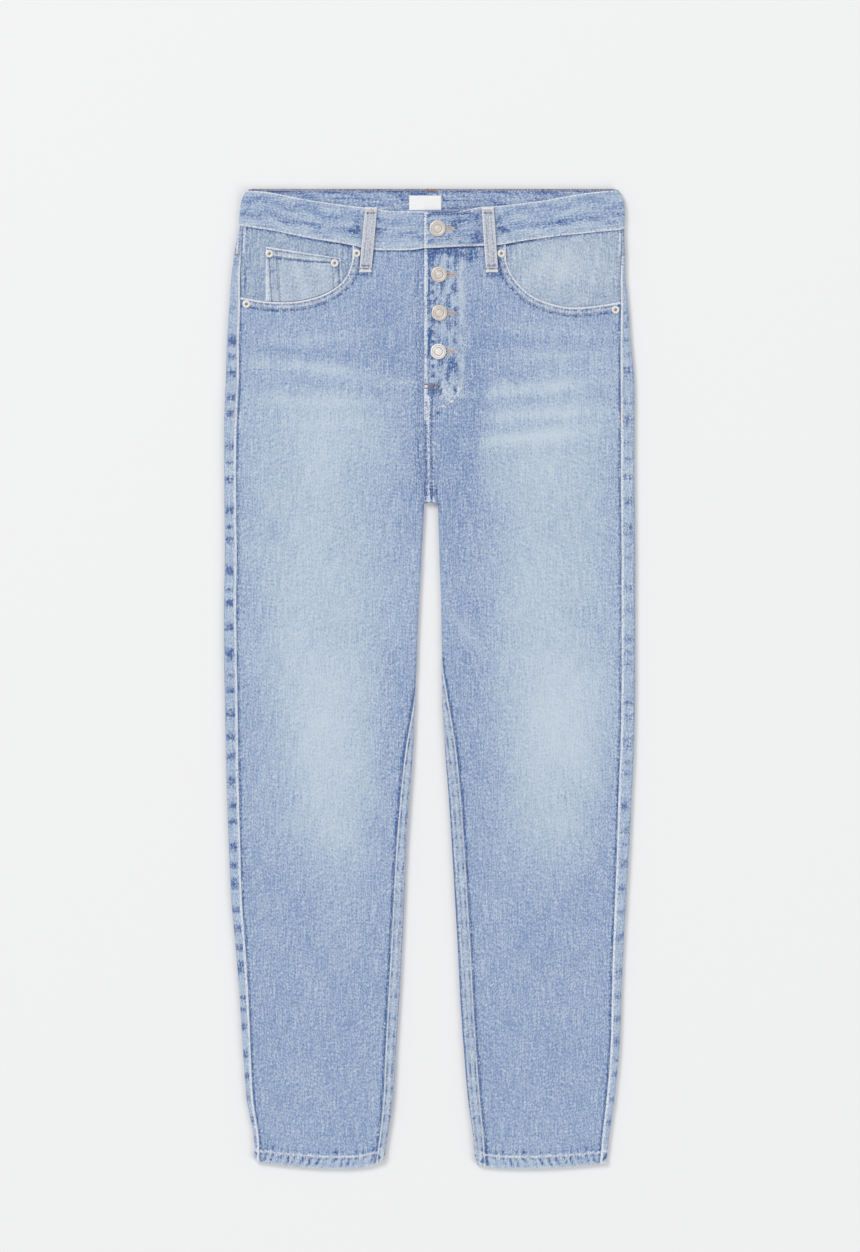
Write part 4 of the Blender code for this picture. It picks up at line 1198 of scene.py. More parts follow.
@dataclass
class FrontPanel(Panel):
    """One front, from the waist seam and pocket opening to the hem."""

    opening_steps: int = 64
    centre_steps: int = 28
    seat_rows: int = 70
    band_of_opening: float = 8.2

    KIND = "front"
    FACE = Face.FRONT

    def __post_init__(self) -> None:
        """Keeps the tube and the opening's curve, and gives the fly's side a finer grid."""
        super().__post_init__()
        if self.side is Side.LEFT:
            self.centre_steps, self.seat_rows = 58, 110
        self.opening = curve(SCOOP[self.side], np.linspace(0, 1, 61))

    def rows(self) -> tuple[Grid, Grid]:
        """Lays out the panel's grid.

        Returns:
            Along and height of each point.
        """
        tube = self.tube
        scoop = curve(SCOOP[self.side], graded(1, 0, self.opening_steps, 0.35))
        scoop[0, 0] = tube.front_start(scoop[0, 1])
        seam_out = graded(tube.pocket_start, tube.centre, self.centre_steps, 0.4)[1:]
        seam = tube.waist_seam(seam_out) - SEAM_GAP
        top_along = np.concatenate([scoop[:, 0], seam_out])
        top_height = np.concatenate([scoop[:, 1], seam])
        top_height[self.opening_steps] = tube.waist_seam(tube.pocket_start) - SEAM_GAP
        hip_first = graded(tube.front_start(HIP_LINE), tube.pocket_start, self.opening_steps, 0.35)
        hip = np.concatenate([hip_first, graded(tube.pocket_start, tube.centre, self.centre_steps, 0.4)[1:]])
        along, height = [], []
        for share in graded(0, 1, 44, 0.6):
            row_height = top_height + share * (HIP_LINE - top_height)
            row_along = top_along + share * (hip - top_along)
            row_along[0] = tube.front_start(row_height[0])
            along.append(row_along)
            height.append(row_height)
        for level in np.linspace(HIP_LINE - 2, CROTCH + 0.7, self.seat_rows):
            down = smooth((HIP_LINE - level) / (HIP_LINE - CROTCH))
            split = tube.pocket_start + (14 - tube.pocket_start) * down
            if self.side is Side.LEFT:
                split = max(split, 42.0)
            first = graded(tube.front_start(level), split, self.opening_steps, 0.35)
            along.append(np.concatenate([first, graded(split, tube.centre, self.centre_steps, 0.4)[1:]]))
            height.append(np.full(len(along[-1]), level))
        for level in leg_rows(4.0):
            end = tube.front_end(level)
            split = max(tube.inner_edge(level) + FOLD_RADIUS, end + 9)
            first = graded(tube.front_start(level), split, self.opening_steps, 0.35)
            along.append(np.concatenate([first, round_fold(split, end, self.centre_steps)[1:]]))
            height.append(np.full(len(along[-1]), level))
        return np.array(along), np.array(height)

    def from_edges(self, along: Grid, height: Grid) -> tuple[Grid, Grid, Grid, Grid]:
        """Distances from the side seam, the inner edge, the opening and the waist seam."""
        tube = self.tube
        in_leg = height < CROTCH
        side = tube.front_start(height) - along
        inner = along - np.where(in_leg, tube.front_end(height), tube.centre)
        opening = np.full(along.shape, 99.0)
        high = height > HIP_LINE - 12
        if high.any():
            opening[high] = distance_to(self.opening, along[high], height[high])
        waist = np.where(height > HIP_LINE, tube.waist_seam(along) - height, 99.0)
        waist = np.where(along < tube.pocket_start + 3, waist, 99.0)
        return side, inner, opening, waist

    def relief(self, along: Grid, height: Grid) -> Grid:
        """Works out the cloth's fine relief over the solid's form.

        Args:
            along: places across the front.
            height: places up it.

        Returns:
            The rise, in millimetres.
        """
        side, inner, opening, waist = self.from_edges(along, height)
        lift = 0.13 * BROAD(along, height) + 0.09 * SOFT(along, height) + 0.035 * FINE(along, height)
        lift = lift * smooth(side / 14) * smooth(inner / 14)
        uneven = 0.6 + 0.5 * SOFT(0 * along + 9, height * 2.2)
        lift -= 0.5 * bell(side, 1.5) + 0.16 * bell(side - 5, 4) * uneven
        lift -= 0.35 * bell(inner, 1.2)
        rim = smooth((self.band_of_opening - opening) / 1.2)
        puckers = PUCKER(along, height)
        lift += rim * (0.5 + 0.2 * puckers) - 0.5 * bell(opening, 0.9) + 0.2 * puckers * bell(opening - 11, 4)
        lift -= 0.25 * bell(opening - 1.9, 0.7) + 0.3 * bell(opening - 7.6, 0.8)
        lift -= 0.35 * bell(waist, 1.0)
        lift += 0.12 * bell(waist - 7, 6) * np.sin(along / 2.1 + SOFT(along, height))
        on_fly = smooth((height - FLY_END + 6) / 6) * (height > CROTCH)
        if self.side is Side.LEFT:
            placket = smooth((34.5 - along) / 2) * on_fly
            lift += placket * (0.28 + 0.26 * SOFT(along * 1.5, height * 1.4) + 0.17 * PUCKER(along, height))
            lift += 0.3 * bell(inner - 1.8, 1.6) * (height > CROTCH) - 0.3 * placket * bell(inner - 5.4, 1.8)
            lift -= 0.22 * on_fly * sum(bell(along - row, 0.8) for row in FLY_ROWS)
            strip = smooth((self.strip_width(height) - inner) / 1.5) * (height > CROTCH) * (height < FLY_END)
            ridge = bell(inner - 5.0, 2.2)
            lift += strip * (0.15 + 0.55 * ridge + 0.12 * np.sin(height * 1.25 + PUCKER(along, height)))
        return lift + np.where(height < HEM_TOP, hem_relief(along, height), 0.0)

    @staticmethod
    def strip_width(height: Grid) -> Grid:
        """Width of the felled seam between the fly's end and the crotch."""
        return np.interp(height, [CROTCH, 745, FLY_END], [15.5, 13.0, 10.5])

    def dye(self, along: Grid, height: Grid) -> Grid:
        """Paints the front's wash, seams and edges, and painted shade under the waistband, below the pocket
        band and beside the fly.

        Args:
            along: places across the front.
            height: places up it.

        Returns:
            Fade, indigo with painted shade, and rubbing.
        """
        side, inner, opening, waist = self.from_edges(along, height)
        dye = wash_and_loop_shade(self.side.value * along, height)
        fade, deep, worn = np.moveaxis(dye, -1, 0)
        uneven = 0.5 + 0.5 * np.clip(SOFT(0 * along + 3, height * 2.4), -1, 1)
        # Deep blue beside the side seam: partly unfaded indigo, partly painted shade
        deep += 0.8 * bell(side - 0.8, 1.4) + 0.2 * bell(side - 5, 6) * uneven
        shade = 0.72 * bell(inner - 1.4, 1.7) + 0.22 * bell(inner - 4, 4) * uneven
        deep += np.where(height < CROTCH, shade, 0)
        puckers = np.clip(PUCKER(along, height), -1, 1)
        worn += 1.0 * bell(opening - 0.4, 1.5)
        band = smooth((self.band_of_opening - opening) / 1.0)
        fade += 0.24 * band
        worn += 0.30 * band * (1 - 0.8 * np.clip(puckers, 0, 1))
        # Painted shadow below the pocket band's raised edge, broken by puckers, and a blue line by the first
        # stitch row
        deep += 0.95 * bell(opening - 9.2, 1.5) * (0.75 + 0.45 * puckers) + 0.55 * bell(opening - 2.9, 0.8)
        deep += band * (0.05 + 0.30 * np.clip(puckers, 0, 1))
        patchy = np.clip(SOFT(along * 2, height), 0, 1)
        # Painted shadow under the waistband's lower edge; lower down, patchy indigo
        deep += 0.8 * bell(waist - 0.8, 1.5) + 0.5 * bell(waist - 7, 5) * patchy
        if self.side is Side.LEFT:
            pressed = smooth((54.5 - along) / 3) * smooth((816 - height) / 16) * smooth((height - 730) / 16)
            fade -= 0.14 * pressed
            self.dye_fly(dye, along, height, inner)
        else:
            # Painted shadow of the left front's fly edge, falling on the right front
            deep += 0.4 * bell(along - 12, 5) * smooth((height - CROTCH) / 30)
        hem_dye(along, height, dye)
        return dye

    def dye_fly(self, dye: Grid, along: Grid, height: Grid, inner: Grid) -> None:
        """Paints the placket, a painted shadow beside its edge, and the felled seam below it.

        Args:
            dye: fade, indigo and rubbing, changed in place.
            along: places across the front.
            height: places up it.
            inner: distances from the fly's edge.
        """
        fade, deep, worn = np.moveaxis(dye, -1, 0)
        puckers = np.clip(PUCKER(along, height), -1, 1)
        broken = 0.8 + 0.2 * np.clip(PUCKER(along * 0.3, height * 1.2), -1, 1)
        on_fly = smooth((height - FLY_END + 2) / 4) * smooth((40 - along) / 2)
        mottled = np.clip(0.4 + 0.7 * SOFT(along * 2.0, height) + 0.35 * PUCKER(along, height * 0.6), 0, 1)
        deep += 0.62 * on_fly * mottled * smooth((31 - along) / 4)
        fade += 0.38 * on_fly * (1 - mottled) + 0.22 * on_fly * bell(along - 34.5, 3.2)
        beads = 0.55 + 0.45 * np.clip(np.sin(height * 1.9) + SOFT(along, height), -1, 1)
        worn += 0.55 * on_fly * beads * sum(bell(along - row, 0.9) for row in FLY_ROWS)
        deep += 0.75 * on_fly * bell(along - 28.0, 1.7) * np.clip(0.35 + SOFT(along, height * 2.4), 0, 1)
        dashes = np.clip(np.sin(height * 0.62 + 1.6 * SOFT(along * 0.2, height)) + 0.35, 0, 1)
        # Painted shadow in the groove beside the fly's raised edge
        deep += 0.7 * bell(inner - 5.2, 1.0) * smooth((height - FLY_END) / 4)
        deep += 0.95 * bell(inner - 9.4, 2.6) * dashes * smooth((height - FLY_END) / 4)
        worn += 1.0 * bell(inner - 1.6, 2.1) * smooth((height - FLY_END + 34) / 14) * broken
        deep += 0.85 * bell(along - 12, 22) * bell(height - 988.5, 3.4)
        deep += 0.9 * bell(along - 44, 13) * bell(height - 984, 8) * (0.85 + 0.3 * puckers)
        patch = bell(along - 17, 9) * bell(height - 837, 11)
        worn += 0.55 * patch * np.clip(0.7 + puckers, 0, 1)
        fade += 0.3 * patch
        rim = bell(np.hypot(along - 8.5, (height - 857) * 0.72) - 25.6, 2.2) * (height < 845) * (along > 8)
        worn += 0.6 * rim * broken
        deep += 0.4 * patch * np.clip(-puckers, 0, 1) + 0.6 * bell(along - 9, 5) * bell(height - 815, 5)
        width = self.strip_width(height)
        strip = (height > CROTCH) * smooth((FLY_END + 4 - height) / 4) * smooth((width + 0.5 - inner) / 1.0)
        dots = np.clip(np.sin(height * 1.9 + SOFT(along, height)), 0, 1)
        worn += strip * (0.74 * bell(inner - 5.0, 1.7) * broken + 0.4 * bell(inner - 10.4, 1.1))
        deep += strip * (0.2 + 0.8 * (bell(inner - 1.6, 1.1) + bell(inner - 8.0, 1.2)) * (0.6 + 0.5 * dots))
        deep += 0.7 * strip * bell(height - 730, 5.0)
        knot = smooth((inner + 6) / 2) * smooth((width + 1 - inner) / 2) * bell(height - 720.5, 4.0)
        worn += 0.34 * knot * (height > CROTCH)

    def sew(self) -> Sewing:
        """Sews the hem."""
        sewing = Sewing(f"front_{self.tube.word}_stitches")
        ends = self.tube.front_start(HEM_STITCHES) - 1, self.tube.front_end(HEM_STITCHES) + 1
        sewing.row(*self.path(np.linspace(*ends, 60), HEM_STITCHES), 3.0, 3.6, 1.0)
        return sewing

    def sew_grey(self) -> Sewing:
        """Sews the pocket opening's double row and, on the left front, the fly and the seam below it."""
        sewing = Sewing(f"front_{self.tube.word}_grey_stitches")
        edge = curve(SCOOP[self.side], np.linspace(0.03, 0.97, 90))
        for distance in (2.4, 7.0):
            sewing.row(*self.path(*(edge + distance * away_from(edge)).T), width=1.15)
        if self.side is Side.LEFT:
            for reach in FLY_ROWS:
                sewing.row(*self.path(*self.fly_curve(reach)))
            level = np.linspace(FLY_END - 4, CROTCH + 6, 50)
            for offset in (1.6, 8.0):
                sewing.row(*self.path(self.tube.centre + offset + 0 * level, level))
        return sewing

    @staticmethod
    def fly_curve(reach: float) -> tuple[Grid, Grid]:
        """The fly's stitch line: straight down and round to the crotch seam."""
        turn = np.linspace(0, math.pi / 2, 24)[1:]
        width, drop = reach - 8.5, 34.0 + 0.6 * (reach - FLY_ROWS[0])
        across = np.concatenate([np.full(50, reach), 8.5 + width * np.cos(turn) ** 0.8])
        return across, np.concatenate([np.linspace(991, 858, 50), 858 - drop * np.sin(turn)])


@dataclass
class BackPanel(Panel):
    """One back, from the yoke's seam to the hem, with the share that wraps to the front."""

    fold_steps: int = 24
    middle_steps: int = 32

    KIND = "back"
    GRAIN_START = 400.0
    BLOTCH_STEP = 23.0

    def yoke_seam(self, along: Grid) -> Grid:
        """The seam between yoke and back."""
        share = np.clip(np.abs(along) / (self.tube.outer_edge(YOKE_AT_SIDE) - FOLD_RADIUS), 0, 1)
        return YOKE_AT_CENTRE + (YOKE_AT_SIDE - YOKE_AT_CENTRE) * share

    def across(self, height: float, split: float, end: float, in_leg: bool) -> Grid:
        """One row of places, from the side seam over the fold to the inner end."""
        turn = self.tube.outer_edge(height) - FOLD_RADIUS
        over = round_fold(turn, self.tube.back_start(height), self.fold_steps)[::-1]
        middle = np.linspace(turn, split, self.middle_steps + 1)[1:]
        straight = np.linspace(split, end, self.fold_steps + 1)
        last = round_fold(split, end, self.fold_steps) if in_leg else straight
        return np.concatenate([over, middle, last[1:]])

    def rows(self) -> tuple[Grid, Grid]:
        """Lays out the panel's grid.

        Returns:
            Along and height of each point.
        """
        tube = self.tube
        centre = tube.back_centre + SEAM_GAP
        along, height = [], []
        for share in np.linspace(0, 1, 18)[:-1]:
            level = YOKE_AT_SIDE - SEAM_GAP + share * (894 - YOKE_AT_SIDE + SEAM_GAP)
            row = self.across(level, 62, centre, False)
            seam = self.yoke_seam(row) - SEAM_GAP
            along.append(row)
            height.append(seam + share * (894 - seam))
        for level in np.linspace(894, CROTCH + 0.7, 42):
            down = smooth((HIP_LINE - level) / (HIP_LINE - CROTCH))
            along.append(self.across(level, 62 + (16 - 62) * down, centre, False))
            height.append(np.full(len(along[-1]), level))
        for level in leg_rows(4.2):
            end = tube.back_end(level)
            split = max(tube.inner_edge(level) + FOLD_RADIUS, end + 9)
            along.append(self.across(level, split, end, True))
            height.append(np.full(len(along[-1]), level))
        return np.array(along), np.array(height)

    def from_edges(self, along: Grid, height: Grid) -> tuple[Grid, Grid]:
        """Distances from the side seam and from the inner end."""
        side = self.tube.back_start(height) - along
        inner = along - np.where(height < CROTCH, self.tube.back_end(height), self.tube.back_centre)
        return side, inner

    def relief(self, along: Grid, height: Grid) -> Grid:
        """Fine relief: side seam, felled inside seam, hem, and folds that never go under the floor."""
        side, inner = self.from_edges(along, height)
        in_leg = height < CROTCH
        flat = smooth((self.tube.outer_edge(height) - FOLD_RADIUS - along) / 6)
        flat = flat * np.where(in_leg, smooth((along - self.tube.inner_edge(height) - FOLD_RADIUS) / 6), 1.0)
        soft = 0.10 * BROAD(along + 30, height) + 0.07 * SOFT(along, height)
        folds = creases(BACK_FOLDS, self.side, along, height)
        lift = -flat * (UNDERSIDE + np.clip(np.abs(soft), 0, 0.3) - np.minimum(folds, 0))
        seam = 0.42 * bell(side - 1.5, 1.4) - 0.3 * bell(side, 0.5)
        pucker = np.clip(SOFT(0 * along + 5, height * 1.6), -1, 1) * bell(side - 7, 6)
        felled = np.where(in_leg, smooth((10.4 - inner) / 1.4), 0.0)
        ripple = np.sin(2 * math.pi * height / FELL_WAVE + 1.5 * SOFT(0 * along, height))
        seams = seam + 0.14 * pucker + felled * (0.4 + 0.11 * ripple) - 0.35 * bell(inner, 0.8) * in_leg
        lift += seams * (1 - flat) + 0.25 * seams * flat
        return lift + np.where(height < HEM_TOP, hem_relief(along, height) * (1 - flat), 0.0)

    def dye(self, along: Grid, height: Grid) -> Grid:
        """Paints the back: worn seat and thighs, blue blotches along the seams."""
        side, inner = self.from_edges(along, height)
        dye = np.zeros((*along.shape, 3))
        fade, deep, worn = np.moveaxis(dye, -1, 0)
        seat = np.exp(-(((along - 108) / 78) ** 2) - ((height - 800) / 100) ** 2)
        thigh = np.exp(-(((along - 116) / 60) ** 2) - ((height - 560) / 170) ** 2)
        fade[...] = 0.2 + 0.4 * seat + 0.3 * thigh + 0.05 * BROAD(along + 20, height)
        near = smooth((26 - side) / 8)
        fade += 0.22 * near
        beat = Ripple(21 if self.side is Side.RIGHT else 34, 400, 60)(0 * along, height)
        spots = np.clip(1.5 * np.sin(2 * math.pi * height / self.BLOTCH_STEP + 1.9 * beat) - 0.05, 0, 1)
        depth = 0.88 if self.side is Side.RIGHT else 0.62
        width = smooth((side - 2.0) / 1.5) * smooth((14.5 - side) / 5)
        deep += depth * spots * width * (0.85 + 0.22 * FINE(along, height)) * smooth((960 - height) / 60)
        worn += 0.95 * bell(side - 1.1, 1.6)
        deep += 0.4 * near * bell(side - 15, 3)
        fell = np.where(height < CROTCH, smooth((11.5 - inner) / 1.5), 0.0)
        dots = np.clip(np.sin(2 * math.pi * height / FELL_WAVE + 1.5 * SOFT(0 * along, height)), -1, 1)
        fade += 0.30 * fell
        deep += fell * (0.35 + 0.6 * np.clip(dots, 0, 1)) * (bell(inner - 2.6, 1.2) + bell(inner - 8.2, 1.3))
        between = np.clip(-dots, 0, 1)
        worn += fell * 0.8 * bell(inner - 0.5, 1.1) + 0.5 * fell * bell(inner - 5.4, 1.8) * between
        worn += np.where(height < CROTCH, 0.5 * bell(inner - 10.6, 1.0), 0.0)
        deep += np.where(height < CROTCH, 0.9 * bell(inner - 13.4, 1.8), 0.0)
        hem_dye(along, height, dye)
        return dye

    def sew(self) -> Sewing:
        """Sews the felled inside seam, the hip's edge stitch, the hem and the seat seam."""
        tube = self.tube
        sewing = Sewing(f"back_{tube.word}_stitches")
        level = np.linspace(14, CROTCH - 8, 340)
        for inset in (1.6, 8.4):
            sewing.row(*self.path(tube.back_end(level) + inset, level))
        hip = np.linspace(828, 966, 70)
        sewing.row(*self.path(tube.back_start(hip) - 2.6, hip))
        span = np.linspace(tube.back_start(HEM_STITCHES) - 1, tube.back_end(HEM_STITCHES) + 1, 90)
        sewing.row(*self.path(span, HEM_STITCHES), 3.0, 3.6, 1.0)
        seat = np.linspace(CROTCH + 4, 940, 100)
        for inset in (2.0, 7.5):
            sewing.row(*self.path(tube.back_centre + inset + 0 * seat, seat))
        return sewing


@dataclass
class Yoke(Panel):
    """One yoke, between the waistband and the back."""

    KIND = "yoke"
    GRAIN_START = 800.0

    def __post_init__(self) -> None:
        """Keeps the tube and the back that it meets."""
        super().__post_init__()
        self.back = BackPanel(self.side)

    def waist_seam(self, along: Grid) -> Grid:
        """The waistband's lower seam along the back and round the fold."""
        turn = self.tube.outer_edge(BACK_SEAM) - FOLD_RADIUS
        bend = math.pi * FOLD_RADIUS
        out = np.where(along > turn + bend, 2 * turn + bend - along, turn + FOLD_RADIUS)
        return BACK_SEAM + (self.tube.waist_seam(out) - BACK_SEAM) * smooth((along - turn) / bend)

    def rows(self) -> tuple[Grid, Grid]:
        """Lays out rows from the waistband's seam down to the back's.

        Returns:
            Along and height of each point.
        """
        tube = self.tube
        alongs, heights = [], []
        for share in np.linspace(0, 1, 16):
            height = np.array([BACK_SEAM + share * (YOKE_AT_SIDE - BACK_SEAM)])
            for _ in range(3):
                turn = tube.outer_edge(height[0]) - FOLD_RADIUS
                over = round_fold(turn, tube.back_start(height[0]), 24)[::-1]
                along = np.concatenate([over, np.linspace(turn, tube.back_centre + SEAM_GAP, 44)[1:]])
                top = self.waist_seam(along) - SEAM_GAP
                low = self.back.yoke_seam(along) + SEAM_GAP
                height = top + share * (low - top)
            alongs.append(along)
            heights.append(height)
        return np.array(alongs), np.array(heights)

    def relief(self, along: Grid, height: Grid) -> Grid:
        """Fine relief: a raised side seam, and soft wrinkles that never go under the floor."""
        side = self.tube.back_start(height) - along
        flat = smooth((self.tube.outer_edge(height) - FOLD_RADIUS - along) / 6)
        over = 0.42 * bell(side - 1.5, 1.4) - 0.3 * bell(side, 0.5) + 0.12 * SOFT(along, height)
        return over * (1 - flat) - 0.2 * np.abs(SOFT(along, height)) * flat

    def dye(self, along: Grid, height: Grid) -> Grid:
        """Paints the yoke: blue wrinkles, and the hip's worn edge and stitch lines."""
        side = self.tube.back_start(height) - along
        dye = np.zeros((*along.shape, 3))
        fade, deep, worn = np.moveaxis(dye, -1, 0)
        fade[...] = 0.3 + 0.06 * SOFT(along, height)
        hip = smooth((height - 982) / 5)
        deep[...] = 0.35 * smooth((side - 1.5) / 2) * np.clip(SOFT(along * 2, height * 2), 0, 1)
        deep += 0.6 * hip * (bell(side - 2.4, 1.0) + bell(side - 7.6, 1.4))
        worn[...] = 0.9 * bell(side - 0.9, 1.35) * (1 - 0.8 * hip) + 0.85 * hip * bell(side - 4.8, 1.1)
        return dye

    def sew(self) -> Sewing:
        """Sews the double row along the back's seam and the hip's edge stitch."""
        sewing = Sewing(f"yoke_{self.tube.word}_stitches")
        for inset in (1.8, 7.0):
            along = np.linspace(self.tube.back_start(YOKE_AT_SIDE) - 3, self.tube.back_centre + 2, 120)
            sewing.row(*self.path(along, self.back.yoke_seam(along) + SEAM_GAP + inset))
        hip = np.linspace(980, 1008, 30)
        sewing.row(*self.path(self.tube.back_start(hip) - 2.6, hip))
        return sewing


# Waistband, pockets, fly and loops


@dataclass
class Waistband:
    """The doubled band from the right front's end, round the back, to the left front's end."""

    front_steps: int = 76
    fold_steps: int = 14
    back_steps: int = 50
    levels: int = 24

    RISE = {
        Side.RIGHT: table("out rise", [(-31, 6.8), (20, 6.8), (60, 7.0), (210, 7.0)]),
        Side.LEFT: table("out rise", [(-6, 9.4), (36, 9.4), (62, 8.2), (90, 7.2), (120, 7.0), (215, 7.0)]),
    }
    ENDS = {Side.RIGHT: -30.8, Side.LEFT: FRONT_EDGE_OF_FLY}
    HEIGHT = 41
    GRAIN_START = 900.0

    def rise(self, side: Side) -> Callable[[Grid, Grid], Grid]:
        """How high the band's outside lies across one front."""
        return lambda out, height: np.interp(out, self.RISE[side]["out"], self.RISE[side]["rise"])

    def relief(self, side: Side, out: Grid, level: Grid) -> Grid:
        """Puffs the band between its stitch rows and wrinkles it lengthwise."""
        puff = 0.30 * np.sin(math.pi * np.clip((level - 0.06) / 0.88, 0, 1)) ** 0.6
        edges = -0.55 * (bell(level, 0.022) + bell(level - 1, 0.022))
        grooves = -0.22 * (bell(level - 0.055, 0.02) + bell(level - 0.945, 0.02))
        x = side.value * out
        strength = 0.6 + 0.4 * BROAD(x, level * 60)
        wrinkles = 0.17 * np.sin(level * 15 + 1.6 * SOFT(x * 0.5, level * 8)) * strength
        return puff + edges + grooves + wrinkles * smooth(level / 0.12) * smooth((1 - level) / 0.12)

    def point(self, side: Side, part: str, share: Grid, level: Grid, lift: Grid | float) -> Grid:
        """Places points of the band.

        Args:
            side: the garment's side.
            part: front, fold or back.
            share: share of the way along that part, from the fold or, on the back, the centre.
            level: 0 at the lower seam and 1 at the upper edge.
            lift: distance outwards.

        Returns:
            The points.
        """
        tube = Tube(side)
        share, level = np.broadcast_arrays(share, level)
        bend = math.pi * BAND_FOLD_RADIUS
        wrapped = {"front": np.ones_like(share), "fold": smooth(share), "back": np.zeros_like(share)}[part]
        height = BACK_SEAM + level * (BACK_TOP - BACK_SEAM)
        for _ in range(4):
            turn = tube.outer_edge(height) - BAND_FOLD_RADIUS
            out = turn + share * (self.ENDS[side] - turn) if part == "front" else turn + BAND_FOLD_RADIUS
            seam = tube.waist_seam(out) + SEAM_GAP
            top = follow(WAIST[side]["out"], WAIST[side]["top"], out)
            low = BACK_SEAM + SEAM_GAP + wrapped * (seam - BACK_SEAM - SEAM_GAP)
            high = BACK_TOP + wrapped * (top - BACK_TOP)
            height = low + level * (high - low)
        turn = tube.outer_edge(height) - BAND_FOLD_RADIUS
        along = {"front": 2 * turn + bend - out, "fold": turn + share * bend, "back": share * turn}[part]
        where = {"front": out, "fold": turn + 3, "back": share * turn}[part]
        relief = self.relief(side, where, level)
        if part == "front":
            relief = relief - 0.5 * bell(out - self.ENDS[side], 1.2)
        if part == "back":
            relief = -0.25 * np.abs(relief)
        lift = np.where(np.asarray(lift) < -0.5, lift + 0.45 * (relief - 0.3), relief + lift)
        return tube.place(Face.BACK, along, height, lift, BAND_FOLD_RADIUS, self.rise(side))

    def columns(self) -> list[tuple[Side, str, Grid]]:
        """The parts of the band in order, each with its shares along."""
        front = graded(1, 0, self.front_steps, 0.35)
        fold = np.linspace(1, 0, self.fold_steps + 1)[1:]
        back = np.linspace(1, 0, self.back_steps + 1)[1:]
        right = [(Side.RIGHT, "front", front), (Side.RIGHT, "fold", fold), (Side.RIGHT, "back", back)]
        left = [(Side.LEFT, "back", back[-2::-1]), (Side.LEFT, "fold", np.append(fold[-2::-1], 1.0))]
        return [*right, *left, (Side.LEFT, "front", front[-2::-1])]

    def sheet(self, level: Grid, lift: float) -> Grid:
        """One face of the band as a grid."""
        rows = level[:, None]
        parts = [self.point(side, part, shares[None, :], rows, lift) for side, part, shares in self.columns()]
        return np.concatenate(parts, axis=1)

    def dye(self, points: Grid, level: Grid, inside: bool) -> Grid:
        """Paints the band's wear, with painted shade beside the loops and along the top edge by the fly, and
        deep blue round the waist button.
        """
        x, height = points[..., 0], points[..., 1]
        level = np.broadcast_to(level[:, None], x.shape)
        dye = np.zeros((*x.shape, 3))
        fade, deep, worn = np.moveaxis(dye, -1, 0)
        waves = np.sin(level * 15 + 1.6 * SOFT(x * 0.5, level * 8))
        streaks = FINE(x * 0.22, height * 1.7)
        fade[...] = 0.22 + 0.17 * waves + 0.12 * streaks + 0.16 * smooth((0.36 - level) / 0.1)
        deep[...] = 0.28 * np.clip(-waves, 0, 1) * np.clip(0.4 + SOFT(x * 0.6, height), 0, 1)
        deep += 0.18 * np.clip(-streaks, 0, 1) + 0.35 * bell(level - 0.085, 0.025) * np.clip(streaks, 0, 1)
        deep += 0.22 * bell(height - 1031 - 0.09 * np.maximum(-x - 100, 0) - 4, 5) * smooth((-100 - x) / 40)
        worn[...] = 0.06 + 0.9 * bell(level - 1, 0.04) + 0.8 * bell(level - 0.03, 0.03)
        if inside:
            fade[...] = 0.20 + 0.10 * SOFT(x * 0.5, height) + 0.12 * streaks
            worn[...] = 0.10
            deep[...] = 0.20 + 0.34 * np.clip(-streaks, 0, 1) + 0.26 * np.clip(SOFT(x * 0.5, height), 0, 1)
            deep += 0.4 * bell(level - 0.93, 0.03)
            return dye
        # Blotches from the table: indigo, and painted shade beside the loops and along the top edge by the
        # fly
        for spot_x, spot_height, across, up, amount in zip(*BAND_BLOTCHES.values()):
            spot = bell(x - spot_x, across) * bell(height - spot_height, up)
            deep += amount * spot * (0.8 + 0.35 * FINE(x * 1.4, height * 1.4))
        # The rolled top edge beside the fly gets painted shadow: its pale worn edge is dimmed and deep blue
        # added
        rolled = smooth((x + 3) / 4) * smooth((52 - x) / 16) * smooth((level - 0.86) / 0.1)
        rolled = rolled * (points[..., 2] > 6)
        worn *= 1 - 0.85 * rolled * smooth((40 - x) / 12)
        deep += 1.0 * rolled
        edge = bell(x - FRONT_EDGE_OF_FLY - 1.5, 2.0) * (points[..., 2] > 8)
        worn += 0.9 * edge
        return dye

    def make(self, wardrobe: Wardrobe) -> bpy.types.Object:
        """Builds the band in place of its solid."""
        level = graded(0, 1, self.levels, 0.7)
        outer, inner = self.sheet(level, 0.0), self.sheet(level, -BAND_WALL)
        run = travelled(outer[12])
        up = level[:, None] * self.HEIGHT + self.GRAIN_START
        grain = np.stack(np.broadcast_arrays(up, run[None, :]), axis=-1)
        shell = Shell(outer, inner, grain, self.dye(outer, level, False), self.dye(inner, level, True))
        return shell.make("waistband", wardrobe.denim)

    def sew(self) -> tuple[Sewing, Sewing]:
        """Sews both edges of the band, its left end, and the tan row inside its top edge.

        Returns:
            The pale rows and the tan row.
        """
        pale, tan = Sewing("waistband_stitches"), Sewing("waistband_tan_stitches")
        for level in (0.05, 0.95):
            for side, part, shares in self.columns():
                dense = np.linspace(shares[0], shares[-1], 8 * len(shares))
                at = np.full(len(dense), level)
                points, high = (self.point(side, part, dense, at, lift) for lift in (0.0, 0.4))
                pale.row(points, unit(high - points))
        rows = np.linspace(0.06, 0.94, 30)
        for inset in (0.011, 0.042):
            share = np.full(30, 1 - inset)
            points, high = (self.point(Side.LEFT, "front", share, rows, lift) for lift in (0.0, 0.4))
            pale.row(points, (high - points) / 0.4)
        for side in Side:
            dense = np.linspace(0, 1, 300)
            points = self.point(side, "back", dense, np.full(300, 0.962), -BAND_WALL)
            up = np.tile(UP, (300, 1))
            tan.row(points + up * 0.1, up)
            edge = self.point(side, "back", dense, np.full(300, 1.0), -BAND_WALL)
            tan.row(edge + [0.0, 0.1, 0.05], np.tile([0.0, 0.6, 0.8], (300, 1)), 3.0, 3.1, 1.1)
        return pale, tan


